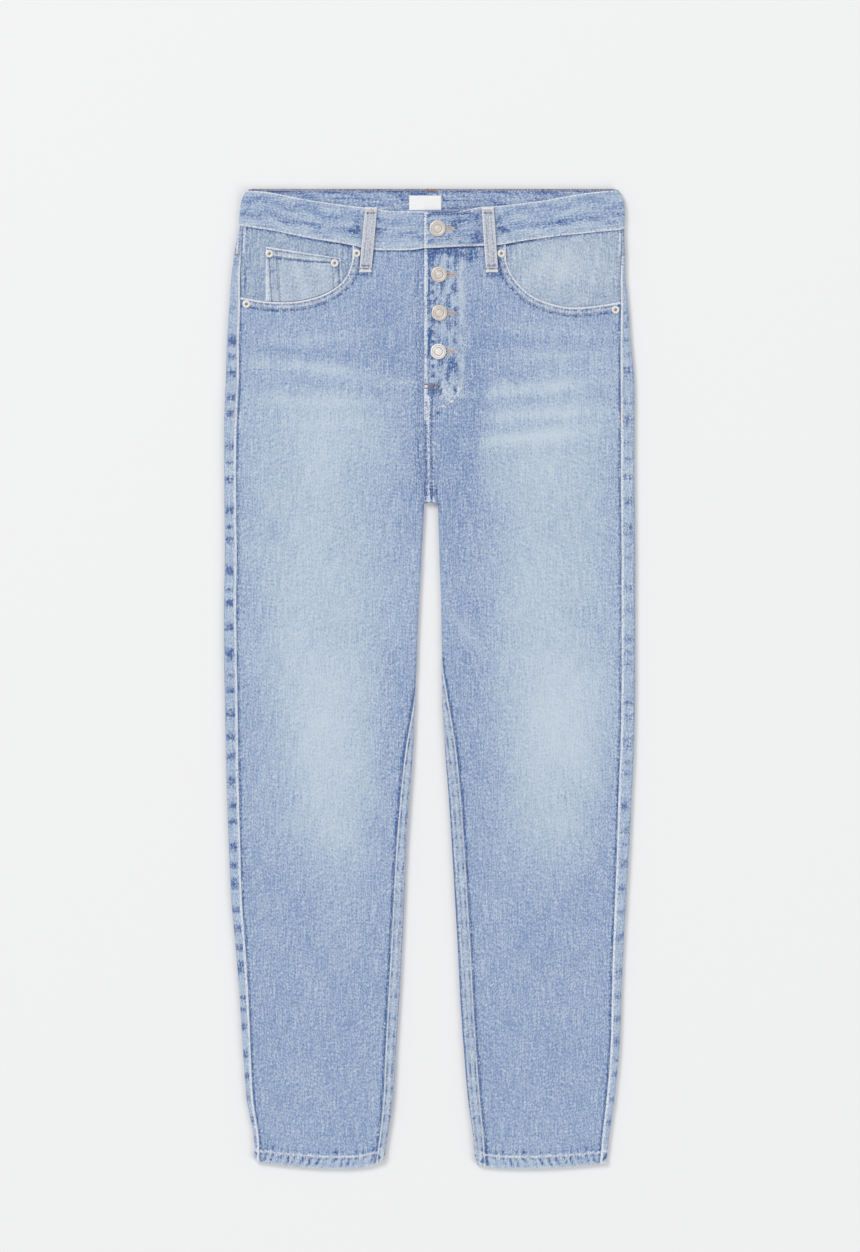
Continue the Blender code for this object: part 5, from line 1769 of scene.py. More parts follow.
@dataclass
class PocketFacing:
    """The denim that shows inside a pocket opening."""

    side: Side
    tuck: float = 11.0

    GRAIN_START = 1300.0

    def make(self, wardrobe: Wardrobe) -> bpy.types.Object:
        """Builds the facing in place of its solid."""
        tube = Tube(self.side)
        shares = np.linspace(0, 1, 60)
        scoop = curve(SCOOP[self.side], shares)
        low = scoop + away_from(scoop) * self.tuck * np.clip(0.55 + 2 * shares, 0, 1)[:, None]
        first = tube.pocket_start - 8
        low[0] = (first, scoop[0, 1] - 6)
        top_out = first + shares * (tube.front_start(1010.0) - first)
        top = tube.waist_seam(top_out) - SEAM_GAP
        low[-1, 0] = tube.front_start(low[-1, 1])
        alongs, heights, sinks = [], [], []
        for share in np.linspace(0, 1, 34):
            height = top + share * (low[:, 1] - top)
            along = top_out + share * (low[:, 0] - top_out)
            along[-1] = tube.front_start(height[-1])
            sunk = SEAM_GAP + (DENIM + CLEAR) * smooth((share - 0.15) / 0.55)
            alongs.append(along)
            heights.append(height)
            sinks.append(np.where(shares < 0.3, DENIM + CLEAR, sunk))
        along, height, sunk = np.array(alongs), np.array(heights), np.array(sinks)
        soft = 0.12 * SOFT(along * 1.3, height) - 0.12
        outer = tube.place(Face.FRONT, along, height, -sunk + soft)
        inner = tube.place(Face.FRONT, along, height, -sunk - FACING_WALL)
        dye = np.zeros((*along.shape, 3))
        fade, deep, worn = np.moveaxis(dye, -1, 0)
        waist = tube.waist_seam(along) - height
        middle = np.exp(-(((along - 140) / 48) ** 2) - ((height - 972) / 24) ** 2)
        base = {Side.RIGHT: 0.22, Side.LEFT: 0.34}[self.side]
        fade[...] = base + 0.42 * middle * (self.side is Side.LEFT) + 0.08 * SOFT(along, height)
        # Painted shadow under the waistband's lower edge, and deeper blue near the opening's top
        deep[...] = 0.85 * bell(waist - 0.8, 1.6) + 0.3 * bell(along - tube.pocket_start - 4, 5)
        side = tube.front_start(height) - along
        deep += 0.5 * bell(side, 1.0) + 0.45 * bell(side - 4.4, 1.4) * (0.7 + 0.5 * SOFT(along, height))
        worn[...] = 0.85 * bell(side - 1.9, 1.0) * smooth((height - 982) / 5)
        lines = np.clip(np.sin(along * 0.42 + 2.2 * SOFT(along * 0.4, height * 0.3)), 0, 1)
        deep += 0.20 * lines * (self.side is Side.RIGHT)
        grain = np.stack([along + self.GRAIN_START, height], axis=-1)
        return Shell(outer, inner, grain, dye).make(f"pocket_facing_{tube.word}", wardrobe.pale, "pale_denim")


def rise_over(under: Sequence[bpy.types.Object], x: Grid, height: Grid) -> Grid:
    """Finds the highest cloth at each place.

    Args:
        under: the pieces that lie there.
        x: places across the garment.
        height: places up it.

    Returns:
        The rise above the floor, in millimetres.
    """
    graph = bpy.context.evaluated_depsgraph_get()
    trees = [BVHTree.FromObject(piece, graph) for piece in under]
    x, height = np.broadcast_arrays(x, height)
    found = np.zeros(x.shape)
    for place in np.ndindex(x.shape):
        start = Vector(((x[place] - ORIGIN[0]) * MM, (height[place] - ORIGIN[1]) * MM, 1.0))
        hits = [tree.ray_cast(start, Vector((0, 0, -1)))[0] for tree in trees]
        found[place] = max([hit.z / MM for hit in hits if hit is not None], default=0.0)
    return found


@dataclass
class CoinPocket:
    """The small pocket on the right facing, down to the edge of the opening."""

    facing: bpy.types.Object
    top_corner: tuple[float, float] = (176.6, 994.7)
    far_corner: tuple[float, float] = (96.0, 981.9)

    WIDTH = 81
    GRAIN_START = 1600.0

    def grid(self, columns: int, rows: int) -> tuple[Grid, Grid, Grid, Grid]:
        """Lays out the patch.

        Args:
            columns: steps along its top.
            rows: steps down.

        Returns:
            Out, height, and the shares across and down.
        """
        top_corner, far_corner = np.array(self.top_corner), np.array(self.far_corner)
        shares = graded(0, 1, columns, 0.5)
        top = top_corner + shares[:, None] * (far_corner - top_corner)
        low = curve(SCOOP[Side.RIGHT], 0.80 - 0.535 * shares) + np.array([0.45, 0.75])
        low[0, 0] = top_corner[0] + 0.4
        down = graded(0, 1, rows, 0.5)
        place = top[None] + down[:, None, None] * (low - top)[None]
        return place[..., 0], place[..., 1], *np.broadcast_arrays(shares[None, :], down[:, None])

    def make(self, wardrobe: Wardrobe) -> tuple[bpy.types.Object, Sewing]:
        """Builds the pocket in place of its solid.

        Args:
            wardrobe: the finishes.

        Returns:
            The cloth, and its stitches to be joined.
        """
        out, height, across, down = self.grid(44, 34)
        under = rise_over([self.facing], -out, height)
        edge = np.minimum(across * self.WIDTH, (1 - across) * self.WIDTH)
        top = down * (height.max() - height.min())
        band = smooth((9.4 - top) / 1.0)
        lift = 1.35 + 0.35 * band - 0.5 * bell(edge, 1.0) - 0.5 * bell(top, 1.0) + 0.1 * SOFT(out, height)
        lift -= 0.14 * (bell(edge - 2, 0.8) + bell(edge - 9, 0.8)) + 0.2 * bell(top - 9.6, 0.9)
        outer = np.stack([-out, height, under + lift], axis=-1)
        inner = np.stack([-out, height, under + CLEAR], axis=-1)
        dye = np.zeros((*out.shape, 3))
        fade, deep, worn = np.moveaxis(dye, -1, 0)
        fade[...] = 0.55 + 0.12 * SOFT(out, height) - 0.12 * bell(edge - 5, 4)
        uneven = np.clip(0.3 + SOFT(out, height * 2), 0, 1)
        deep[...] = 1.0 * bell(top - 11.2, 1.6) + 0.5 * bell(edge - 5.6, 2.6) * uneven
        deep += 0.8 * bell(top - 3.2, 0.9) + 0.8 * bell(edge - 11.0, 1.0) + 0.75 * bell(edge - 3.0, 0.9)
        worn[...] = 0.95 * bell(top, 1.6) + 0.9 * bell(edge, 1.0) + 0.2 * band + 0.6 * bell(top - 8.0, 0.9)
        grain = np.stack([out + self.GRAIN_START, height], axis=-1)
        made = Shell(outer, inner, grain, dye).make("coin_pocket", wardrobe.pale, "pale_denim")
        sewing = Sewing("coin_pocket_stitches")
        above = outer + 0.05 * UP
        down_lines, across_lines = (3, 10, -4), (3, 8)
        paths = [above[2:, column] for column in down_lines] + [above[row, 2:-2] for row in across_lines]
        for path in paths:
            sewing.row(path, np.tile(UP, (len(path), 1)))
        return made, sewing


@dataclass
class ButtonStand:
    """The right front's buttoning strip, under the left front's fly edge."""

    near: float = -2.4
    low_far: float = 14.4
    far: float = 33.5
    corner: float = 26.0
    top: float = 991.9

    GRAIN_START = 1900.0

    def make(self, wardrobe: Wardrobe) -> bpy.types.Object:
        """Builds the strip in place of its solid."""
        tube = Tube(Side.LEFT)
        level = np.linspace(FLY_END, self.top, 54)
        down = np.clip((FLY_END + self.corner - level) / self.corner, 0, 1)
        reach = self.low_far + (self.far - self.low_far) * np.sqrt(1 - down**2)
        x = self.near + np.linspace(0, 1, 14)[None, :] * (reach[:, None] - self.near)
        height = np.broadcast_to(level[:, None], x.shape)
        rise = tube.front_surface(x, height) - DENIM - CLEAR
        outer = np.stack([x, height, rise], axis=-1)
        inner = np.stack([x, height, rise - STAND_WALL], axis=-1)
        dye = np.zeros((*x.shape, 3))
        fade, deep, _ = np.moveaxis(dye, -1, 0)
        fade[...] = 0.1
        deep[...] = 0.35 + 0.1 * SOFT(x, height)
        grain = np.stack([x + self.GRAIN_START, height], axis=-1)
        return Shell(outer, inner, grain, dye).make("button_stand", wardrobe.denim)


@dataclass
class BeltLoops:
    """Two loops sewn over the front, and three pressed under the back."""

    top: float = 1037.4
    low: float = 966.8
    width: float = 13.2
    back_low: float = 988.0

    GRAIN_START = 2200.0
    FRONT = table("side out_top out_low", [(-1, 62.9, 69.4), (1, 62.5, 67.4)])
    SPRING = table(
        "share rise",
        [(0, 0.0), (0.1, 0.1), (0.3, 1.0), (0.52, 1.1), (0.66, 0.9), (0.85, 0.2), (1, 0.0)],
    )

    def profile(self, across: Grid, down: Grid) -> tuple[Grid, Grid]:
        """Relief and dye of a loop, folded under at both sides.

        Args:
            across: share across, from -1 to 1.
            down: distance from the nearer end.

        Returns:
            The rise over its plain face, and fade, indigo and rubbing.
        """
        side = (1 - np.abs(across)) * self.width / 2
        rise = 0.22 * bell(side - 2.2, 1.5) - 0.55 * bell(side, 0.6) - 0.12 * bell(side - 6.6, 2.4)
        rise = rise - 0.5 * bell(down, 0.8) + 0.3 * bell(down - 3.4, 2.2)
        dye = np.zeros((*np.broadcast(across, down).shape, 3))
        fade, deep, worn = np.moveaxis(dye, -1, 0)
        fade[...] = 0.68 + 0.26 * bell(side - 1.2, 1.2) - 0.16 * bell(side - 6.6, 2.6)
        deep[...] = 0.75 * bell(side - 3.3, 0.7) + 0.3 * bell(side - 6.6, 1.7) + 0.6 * bell(side, 0.4)
        deep += 0.8 * bell(down - 7.0, 0.9)
        worn[...] = 0.95 * bell(side - 1.0, 1.0) + 0.95 * bell(down - 1.6, 2.4)
        return rise, dye

    def front(
        self, row: int, under: Sequence[bpy.types.Object], wardrobe: Wardrobe
    ) -> tuple[Grid, bpy.types.Object]:
        """Builds one front loop.

        Args:
            row: its row in the table.
            under: the cloth that it is sewn on.
            wardrobe: the finishes.

        Returns:
            Its outer points, and its object.
        """
        side = Side(int(self.FRONT["side"][row]))
        shares = graded(0, 1, 60, 0.5)[:, None]
        across = graded(-1, 1, 14, 0.6)[None, :]
        out = self.FRONT["out_top"][row] + shares * (self.FRONT["out_low"][row] - self.FRONT["out_top"][row])
        height = self.top + shares * (self.low - self.top) + 0 * across
        x = side.value * out + across * self.width / 2
        tries = side.value * out + np.array([[-6.6, -3, 0, 3, 6.6]])
        seat = rise_over(under, tries, height[:, :1]).max(axis=1)
        seat = np.convolve(np.pad(seat, 3, mode="edge"), np.ones(7) / 7, mode="valid")
        seat = np.maximum(seat, rise_over(under, side.value * out[:, 0], height[:, 0]))
        spring = np.interp(shares[:, 0], self.SPRING["share"], self.SPRING["rise"])
        base = (seat + spring + CLEAR)[:, None]
        down = np.minimum(shares, 1 - shares) * (self.top - self.low)
        rise, dye = self.profile(across, down)
        outer = np.stack([x, height, base + LOOP_WALL + rise], axis=-1)
        inner = np.stack([x, height, base + 0 * x], axis=-1)
        grain = np.stack([x + self.GRAIN_START, height], axis=-1)
        name = f"belt_loop_front_{side.name.lower()}"
        return outer, Shell(outer, inner, grain, dye).make(name, wardrobe.loop, "loop_denim")

    def back(self, name: str, x: float, top: float, wardrobe: Wardrobe) -> tuple[Grid, bpy.types.Object]:
        """Builds one loop under the laid back.

        Args:
            name: the loop's place.
            x: its middle.
            top: its upper end.
            wardrobe: the finishes.

        Returns:
            Its outer points, and its object.
        """
        shares = graded(0, 1, 40, 0.5)[:, None]
        across = graded(-1, 1, 12, 0.6)[None, :]
        height = top + shares * (self.back_low - top) + 0 * across
        down = np.minimum(shares, 1 - shares) * (top - self.back_low)
        rise, dye = self.profile(across, down)
        places = x + across * self.width / 2 + 0 * shares
        outer = np.stack([places, height, UNDERSIDE - 0.8 * np.clip(rise, -0.8, 0.3)], axis=-1)
        inner = np.stack([places, height, LOOP_WALL + 0 * height], axis=-1)
        grain = np.stack([places + self.GRAIN_START, height], axis=-1)
        shell = Shell(outer, inner, grain, dye)
        return outer, shell.make(f"belt_loop_back_{name}", wardrobe.loop, "loop_denim")

    def sew(self, outer: Grid, up: float, pale: Sewing, tan: Sewing, brown: Sewing) -> None:
        """Sews a loop's two rows and its end bartacks.

        Args:
            outer: the loop's outer points.
            up: 1 on the front and -1 underneath.
            pale: the rows' stitches.
            tan: the upper bartack's.
            brown: the lower bartack's.
        """
        direction = np.array([0.0, 0.0, up])
        middle = outer.shape[1] // 2
        for column in (3, outer.shape[1] - 4):
            path = outer[3:-3, column] + direction * 0.03
            pale.row(path, np.tile(direction, (len(path), 1)))
        for row, bartack in ((6, tan), (-7, brown)):
            start, end = outer[row, 1], outer[row, -2]
            level = outer[row, middle, 2] + 0.12 * up
            bartack.bar(np.array([*start[:2], level]), np.array([*end[:2], level]), direction, 1.8)


@dataclass
class BackPocket:
    """A plain five-cornered patch pocket under the laid back."""

    side: Side
    middle: float = 113.0
    top: float = 926.0
    tilt: float = 2.0

    GRAIN_START = 2600.0
    HALF_WIDTH, DEPTH, MEAN_DEPTH = 66, 150, 145
    SHAPE = table(
        "half_width drop",
        [(69, 0), (68, 30), (66, 70), (63, 110), (60, 124), (48, 134), (20, 147), (0, 152)],
    )

    def spot(self, across: Grid, down: Grid) -> Grid:
        """Places on the patch: -1 to 1 across, 0 to 1 down.

        Args:
            across: share across.
            down: share down.

        Returns:
            x and height.
        """
        half, drop = self.SHAPE["half_width"], self.SHAPE["drop"]
        fall = down * np.interp(np.abs(across) * half[3], half[:2:-1], drop[:2:-1])
        width = np.interp(fall, drop[:4], half[:4])
        x, y = across * width, -fall
        turn = math.radians(self.tilt) * self.side.value
        turned_x = x * math.cos(turn) - y * math.sin(turn) + self.side.value * self.middle
        return np.stack([turned_x, x * math.sin(turn) + y * math.cos(turn) + self.top], axis=-1)

    def make(self, wardrobe: Wardrobe) -> tuple[bpy.types.Object, Sewing]:
        """Builds the pocket in place of its solid.

        Args:
            wardrobe: the finishes.

        Returns:
            The cloth, and its stitches to be joined.
        """
        columns, rows = graded(-1, 1, 40, 0.6), graded(0, 1, 38, 0.6)
        across, down = np.broadcast_arrays(columns[None, :], rows[:, None])
        spots = self.spot(across, down)
        edge = np.minimum((1 - np.abs(across)) * self.HALF_WIDTH, (1 - down) * self.DEPTH)
        ripple = np.abs(SOFT(spots[..., 0], spots[..., 1]))
        rise = UNDERSIDE - 0.22 * bell(edge - 4, 3) + 0.35 * bell(edge, 0.8) + 0.1 * ripple
        word = self.side.name.lower()
        outer = np.concatenate([spots, rise[..., None]], axis=-1)
        inner = np.concatenate([spots, np.full((*rise.shape, 1), DENIM)], axis=-1)
        dye = np.zeros((*across.shape, 3))
        fade, deep, worn = np.moveaxis(dye, -1, 0)
        fade[...] = 0.5 + 0.1 * SOFT(spots[..., 0], spots[..., 1]) - 0.15 * bell(edge - 9, 3)
        deep[...] = 0.35 * bell(edge - 9.5, 1.5) + 0.3 * bell(down * self.DEPTH - 27, 2)
        worn[...] = 0.6 * bell(edge, 1.4) + 0.5 * bell(down * self.DEPTH, 1.4)
        grain = spots + np.array([self.GRAIN_START, 0.0])
        made = Shell(outer, inner, grain, dye).make(f"back_pocket_{word}", wardrobe.denim)
        sewing = Sewing(f"back_pocket_{word}_stitches")
        below = np.array([0.0, 0.0, -1.0])
        for inset in (2.2, 8.2):
            share, drop = 1 - inset / self.HALF_WIDTH, 1 - inset / self.MEAN_DEPTH
            down_side = np.linspace(0.01, drop, 60)
            bottom = np.linspace(-share, share, 90)
            path = [self.spot(-share + 0 * down_side, down_side), self.spot(bottom, drop + 0 * bottom)]
            path.append(self.spot(share + 0 * down_side, down_side[::-1]))
            line = np.concatenate(path)
            line = np.column_stack([line, np.full(len(line), UNDERSIDE - 0.1)])
            sewing.row(line, np.tile(below, (len(line), 1)))
        hem = self.spot(np.linspace(-0.98, 0.98, 60), np.full(60, 0.17))
        line = np.column_stack([hem, np.full(60, UNDERSIDE)])
        sewing.row(line, np.tile(below, (60, 1)))
        return made, sewing


@dataclass
class Label:
    """The bare label inside the back of the waistband."""

    left: float = -22.0
    right: float = 12.6
    low: float = 1034.0
    high: float = 1049.8
    wall: float = 0.8

    def make(self, band: bpy.types.Object, wardrobe: Wardrobe) -> bpy.types.Object:
        """Builds the label in place of its solid.

        Args:
            band: the waistband that it is sewn to.
            wardrobe: the finishes.

        Returns:
            The label.
        """
        x, height = np.meshgrid(graded(self.left, self.right, 28, 0.5), graded(self.low, self.high, 16, 0.5))
        under = rise_over([band], x, height).max()
        beside = np.minimum(x - self.left, self.right - x)
        edge = np.minimum(beside, np.minimum(height - self.low, self.high - height))
        lift = self.wall - 0.3 * bell(edge, 0.5) + 0.08 * SOFT(x * 2, height)
        outer = np.stack([x, height, under + 0.1 + lift], axis=-1)
        inner = np.stack([x, height, under + 0.1 + 0 * x], axis=-1)
        grain = np.stack([x, height], axis=-1)
        shell = Shell(outer, inner, grain, np.zeros((*x.shape, 3)))
        return shell.make("waist_label", wardrobe.label, "label", "satin")


# Fastenings


def add_round(radius: float, depth: float, sides: int) -> bpy.types.Object:
    """Adds a round blank that stands on the origin, and opens it in edit mode.

    Args:
        radius: its radius.
        depth: its depth.
        sides: its sides.

    Returns:
        The blank, in edit mode.
    """
    bpy.ops.object.select_all(action="DESELECT")
    bpy.ops.mesh.primitive_cylinder_add(
        vertices=sides, radius=radius * MM, depth=depth * MM, location=(0, 0, depth * MM / 2)
    )
    bpy.ops.object.transform_apply(location=True, rotation=True, scale=True)
    bpy.ops.object.mode_set(mode="EDIT")
    return bpy.context.object


def pick_cap(made: bpy.types.Object, upper: bool) -> None:
    """Selects the face that is the blank's top or bottom."""
    bpy.ops.mesh.select_all(action="DESELECT")
    bpy.ops.mesh.select_mode(type="FACE")
    mesh = bmesh.from_edit_mesh(made.data)
    caps = [f for f in mesh.faces if abs(f.normal.z) > 0.99 and (f.normal.z > 0) == upper]
    chosen = (max if upper else min)(caps, key=lambda f: f.calc_center_median().z)
    chosen.select = True
    bmesh.update_edit_mesh(made.data)


def step_face(inset: float, rise: float) -> None:
    """Insets the selected face and then moves it up or down by an extrusion.

    Args:
        inset: how far the new face lies inside.
        rise: how far it moves, in millimetres.
    """
    if inset:
        bpy.ops.mesh.inset(thickness=inset * MM)
    if rise:
        bpy.ops.mesh.extrude_region_move(TRANSFORM_OT_translate={"value": (0, 0, rise * MM)})


def finish_round(
    made: bpy.types.Object,
    bevel: float,
    materials: Sequence[bpy.types.Material],
    rings: Sequence[tuple[float, float]],
) -> None:
    """Closes edit mode, rounds the edges and gives both finishes.

    Args:
        made: the piece.
        bevel: the rounding's width.
        materials: its finish, and the finish of its rings.
        rings: the radii between which the second finish lies.
    """
    bpy.ops.object.mode_set(mode="OBJECT")
    rounding = made.modifiers.new("rounding", "BEVEL")
    rounding.width = bevel * MM
    rounding.segments = 2
    rounding.limit_method = "ANGLE"
    rounding.angle_limit = math.radians(35)
    bpy.ops.object.modifier_apply(modifier=rounding.name)
    for material in materials:
        made.data.materials.append(material)
    bpy.ops.object.shade_smooth_by_angle(angle=math.radians(40))
    for face in made.data.polygons:
        away = math.hypot(*face.center[:2]) / MM
        if face.normal.z > -0.5 and any(low <= away < high for low, high in rings):
            face.material_index = 1


def copy_round(
    model: bpy.types.Object, solid: str, place: Sequence[float], scale: float = 1.0
) -> bpy.types.Object:
    """Copies a fastening with its own mesh, in place of its solid.

    Args:
        model: the fastening, modelled on the origin.
        solid: the solid's name.
        place: x, height and rise of its seat, in millimetres.
        scale: its width against the model's.

    Returns:
        The copy.
    """
    mesh = model.data.copy()
    mesh.name = solid + "_metal"
    moved = Matrix.Translation(((np.array(place) - ORIGIN) * MM).tolist())
    mesh.transform(moved @ Matrix.Diagonal((scale, scale, 1.0, 1.0)))
    made = bpy.data.objects.new(mesh.name, mesh)
    bpy.context.scene.collection.objects.link(made)
    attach(made, "root")
    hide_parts(solid)
    return made


@dataclass(frozen=True)
class Buttons:
    """Four tack buttons with ringed heads, modelled once."""

    head: float = 8.4
    shank: float = 2.4
    shank_radius: float = 2.1

    PLACES = table(
        "x height head", [(8.6, 1014.0, 8.6), (10.0, 964.5, 8.4), (10.5, 923.0, 8.4), (9.4, 881.4, 8.4)]
    )
    NAMES = ("button_waist", "button_fly_upper", "button_fly_middle", "button_fly_lower")
    SEATS = ("waistband", "front_left", "front_left", "front_left")
    # The button that gets the painted glint
    GLINT_BUTTON = "button_fly_lower"
    STEPS = ((0, 0.9), (0.45, 0.5), (1.0, 0.12), (0.35, -0.4), (1.5, -0.05), (0.3, 0.35), (0.9, 0.05))
    CENTRE_STEPS = ((0.3, -0.3), (1.1, 0.0), (0.25, 0.28), (0.5, 0.12))
    # Radii of the ring grooves, which get the painted shade
    GROOVES = ((6.5, 7.2), (4.2, 4.7), (2.5, 2.95))

    def make(self, panels: dict[str, bpy.types.Object], wardrobe: Wardrobe) -> None:
        """Models one button and sets a copy of it at each place."""
        model = self.model(wardrobe)
        for row, seat in enumerate(self.SEATS):
            self.place(model, row, panels[seat], wardrobe)
        bpy.data.objects.remove(model)

    def model(self, wardrobe: Wardrobe) -> bpy.types.Object:
        """Models one button on the origin, its shank below."""
        made = add_round(self.head * 0.86, 0.5, 56)
        pick_cap(made, False)
        step_face(self.head * 0.86 - self.shank_radius, -self.shank)
        pick_cap(made, True)
        bpy.ops.transform.resize(value=(1.16, 1.16, 1), center_override=(0, 0, 0))
        for inset, rise in self.STEPS + self.CENTRE_STEPS:
            step_face(inset, rise)
        finish_round(made, 0.12, [wardrobe.button, wardrobe.button_groove_shade], self.GROOVES)
        return made

    def place(self, model: bpy.types.Object, row: int, lapped: bpy.types.Object, wardrobe: Wardrobe) -> None:
        """Sets one button on its cloth.

        Args:
            model: the button that was modelled.
            row: its row in the table.
            lapped: the cloth that it passes through.
            wardrobe: the finishes.
        """
        x, height, head = (self.PLACES[key][row] for key in ("x", "height", "head"))
        ring = np.linspace(0, 2 * math.pi, 25)[:-1]
        seat = rise_over([lapped], x + head * np.cos(ring), height + head * np.sin(ring)).max() + 0.1
        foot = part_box(self.NAMES[row])[0][2] / MM
        made = copy_round(model, self.NAMES[row], (x, height, seat), head / self.head)
        for vertex in made.data.vertices:
            if vertex.co.z < (seat - self.shank / 2) * MM:
                vertex.co.z += (foot - seat + self.shank) * MM
        if self.NAMES[row] == self.GLINT_BUTTON:
            made.data.materials[0] = wardrobe.glint_button


@dataclass(frozen=True)
class Rivets:
    """Six rivet caps, modelled once: a pale rim round a warm nub."""

    radius: float = 4.2

    PLACES = table(
        "x height",
        [(-172.8, 986.8), (-102.4, 976.8), (-78.7, 987.4), (-197.6, 932.6), (77.4, 987.2), (200.6, 926.4)],
    )
    NAMES = (
        "rivet_coin_outer",
        "rivet_coin_inner",
        "rivet_right_waist",
        "rivet_right_side",
        "rivet_left_waist",
        "rivet_left_side",
    )
    SEATS = ("coin_pocket", "coin_pocket", "front_right", "front_right", "front_left", "front_left")
    STEPS = ((0.35, 0.45), (0.45, 0.25), (0.8, -0.05), (0.3, -0.55), (0.45, 0.05), (0.25, 0.45))

    def make(self, panels: dict[str, bpy.types.Object], wardrobe: Wardrobe) -> None:
        """Models one rivet and sets a copy of it at each place."""
        model = self.model(wardrobe)
        for row, seat in enumerate(self.SEATS):
            self.place(model, row, panels[seat])
        bpy.data.objects.remove(model)

    def model(self, wardrobe: Wardrobe) -> bpy.types.Object:
        """Models one rivet on the origin."""
        made = add_round(self.radius, 0.6, 36)
        pick_cap(made, True)
        for inset, rise in self.STEPS:
            step_face(inset, rise)
        finish_round(made, 0.1, [wardrobe.rivet, wardrobe.rivet_centre], [(0.0, 1.5)])
        return made

    def place(self, model: bpy.types.Object, row: int, under: bpy.types.Object) -> None:
        """Sets one rivet in its cloth.

        Args:
            model: the rivet that was modelled.
            row: its row in the table.
            under: the cloth that it holds.
        """
        x, height = self.PLACES["x"][row], self.PLACES["height"][row]
        ring = np.linspace(0, 2 * math.pi, 17)[:-1]
        around = x + self.radius * np.cos(ring), height + self.radius * np.sin(ring)
        seat = rise_over([under], *around).max() - 0.15
        made = copy_round(model, self.NAMES[row], (x, height, seat))


def sew_fly(panels: dict[str, bpy.types.Object], tan: Sewing, brown: Sewing) -> None:
    """Sews the four buttonholes and the fly's two bartacks.

    Args:
        panels: the garment's cloth by name.
        tan: gathers the buttonholes' stitches.
        brown: gathers the bartacks'.
    """
    start, end, step, foot = 3.0, 17.5, 0.75, 17.8
    for x, height, seat in zip(Buttons.PLACES["x"], Buttons.PLACES["height"], Buttons.SEATS):
        cloth = [panels[seat]]
        places = np.arange(x + start, x + end, step)
        spread = np.linspace(2.3, 0.7, len(places))
        for side in (-1, 1):
            rise = rise_over(cloth, places, height + side * spread) + 0.05
            near = np.column_stack([places, height + side * (spread - 1.1), rise])
            far = np.column_stack([places + 0.3, height + side * (spread + 0.9), rise])
            tan.stitch(near, far, np.tile(UP, (len(places), 1)), 0.75, 0.5)
        tip = np.array([x + foot, height, float(rise_over(cloth, x + foot, height))])
        tan.bar(tip - [0, 1.1, 0], tip + [0, 1.1, 0], UP, 1.5)
    for level in (845.6, 841.4):
        rise = float(rise_over([panels["front_left"]], 2.0, level)) + 0.1
        brown.bar(np.array([-5.2, level + 0.6, rise]), np.array([9.6, level - 0.9, rise]), UP, 1.4)


# Scene


@dataclass(frozen=True)
class Studio:
    """A pale floor, soft light and the photograph's view from straight above."""

    frame_width: float = 0.9288
    frame_height: float = 1.3522
    middle: tuple[float, float] = (0.0005, 0.0564)
    distance: float = 5.0

    def floor(self) -> None:
        """Lays the pale floor."""
        bpy.ops.object.select_all(action="DESELECT")
        bpy.ops.mesh.primitive_plane_add(size=14.0, location=(0, 0, -0.0004))
        ground = bpy.context.object
        ground.name = "studio_floor"
        material, nodes, shader = start_material("studio_paper")
        paper = {"Base Color": linear((240, 240, 240)), "Roughness": 1.0, "Specular IOR Level": 0.0}
        nodes.feed(shader, paper)
        ground.data.materials.append(material)
        ground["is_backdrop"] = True

    def camera(self) -> None:
        """Hangs the camera over the middle of the photograph's frame."""
        lens = bpy.data.cameras.new("overhead")
        lens.sensor_fit = "VERTICAL"
        lens.sensor_height = 36.0
        lens.lens = 36.0 * self.distance / self.frame_height
        lens.clip_end = 30.0
        holder = bpy.data.objects.new("overhead", lens)
        holder.location = (*self.middle, self.distance)
        bpy.context.scene.collection.objects.link(holder)
        bpy.context.scene.camera = holder

    def lights(self) -> None:
        """Sets a broad soft key from above left, and an even sky."""
        world = bpy.data.worlds.new("even_sky")
        world.use_nodes = True
        sky = world.node_tree.nodes["Background"]
        sky.inputs["Color"].default_value = (0.985, 0.99, 1.0, 1.0)
        sky.inputs["Strength"].default_value = 0.59
        bpy.context.scene.world = world
        bpy.context.scene.view_settings.view_transform = "Standard"
        for name, place, size, power in (
            ("key", (-8.0, 8.2, 10.5), 6.0, 1096.0),
            ("fill", (9.0, -8.0, 9.0), 8.0, 538.0),
        ):
            light = bpy.data.lights.new(name, "AREA")
            light.size = size
            light.energy = power
            holder = bpy.data.objects.new(name, light)
            holder.location = place
            aim = Vector((0.0, 0.0, 0.0)) - Vector(place)
            holder.rotation_euler = aim.to_track_quat("-Z", "Y").to_euler()
            bpy.context.scene.collection.objects.link(holder)


def pattern_origin() -> Grid:
    """Finds the garment's pattern origin in the frame, from the label's solid, in millimetres."""
    low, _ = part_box("waist_label")
    corner = np.array([Label.left, Label.low])
    return np.array([corner[0] - low[0] / MM, corner[1] - low[1] / MM, 0.0])


ORIGIN = pattern_origin()


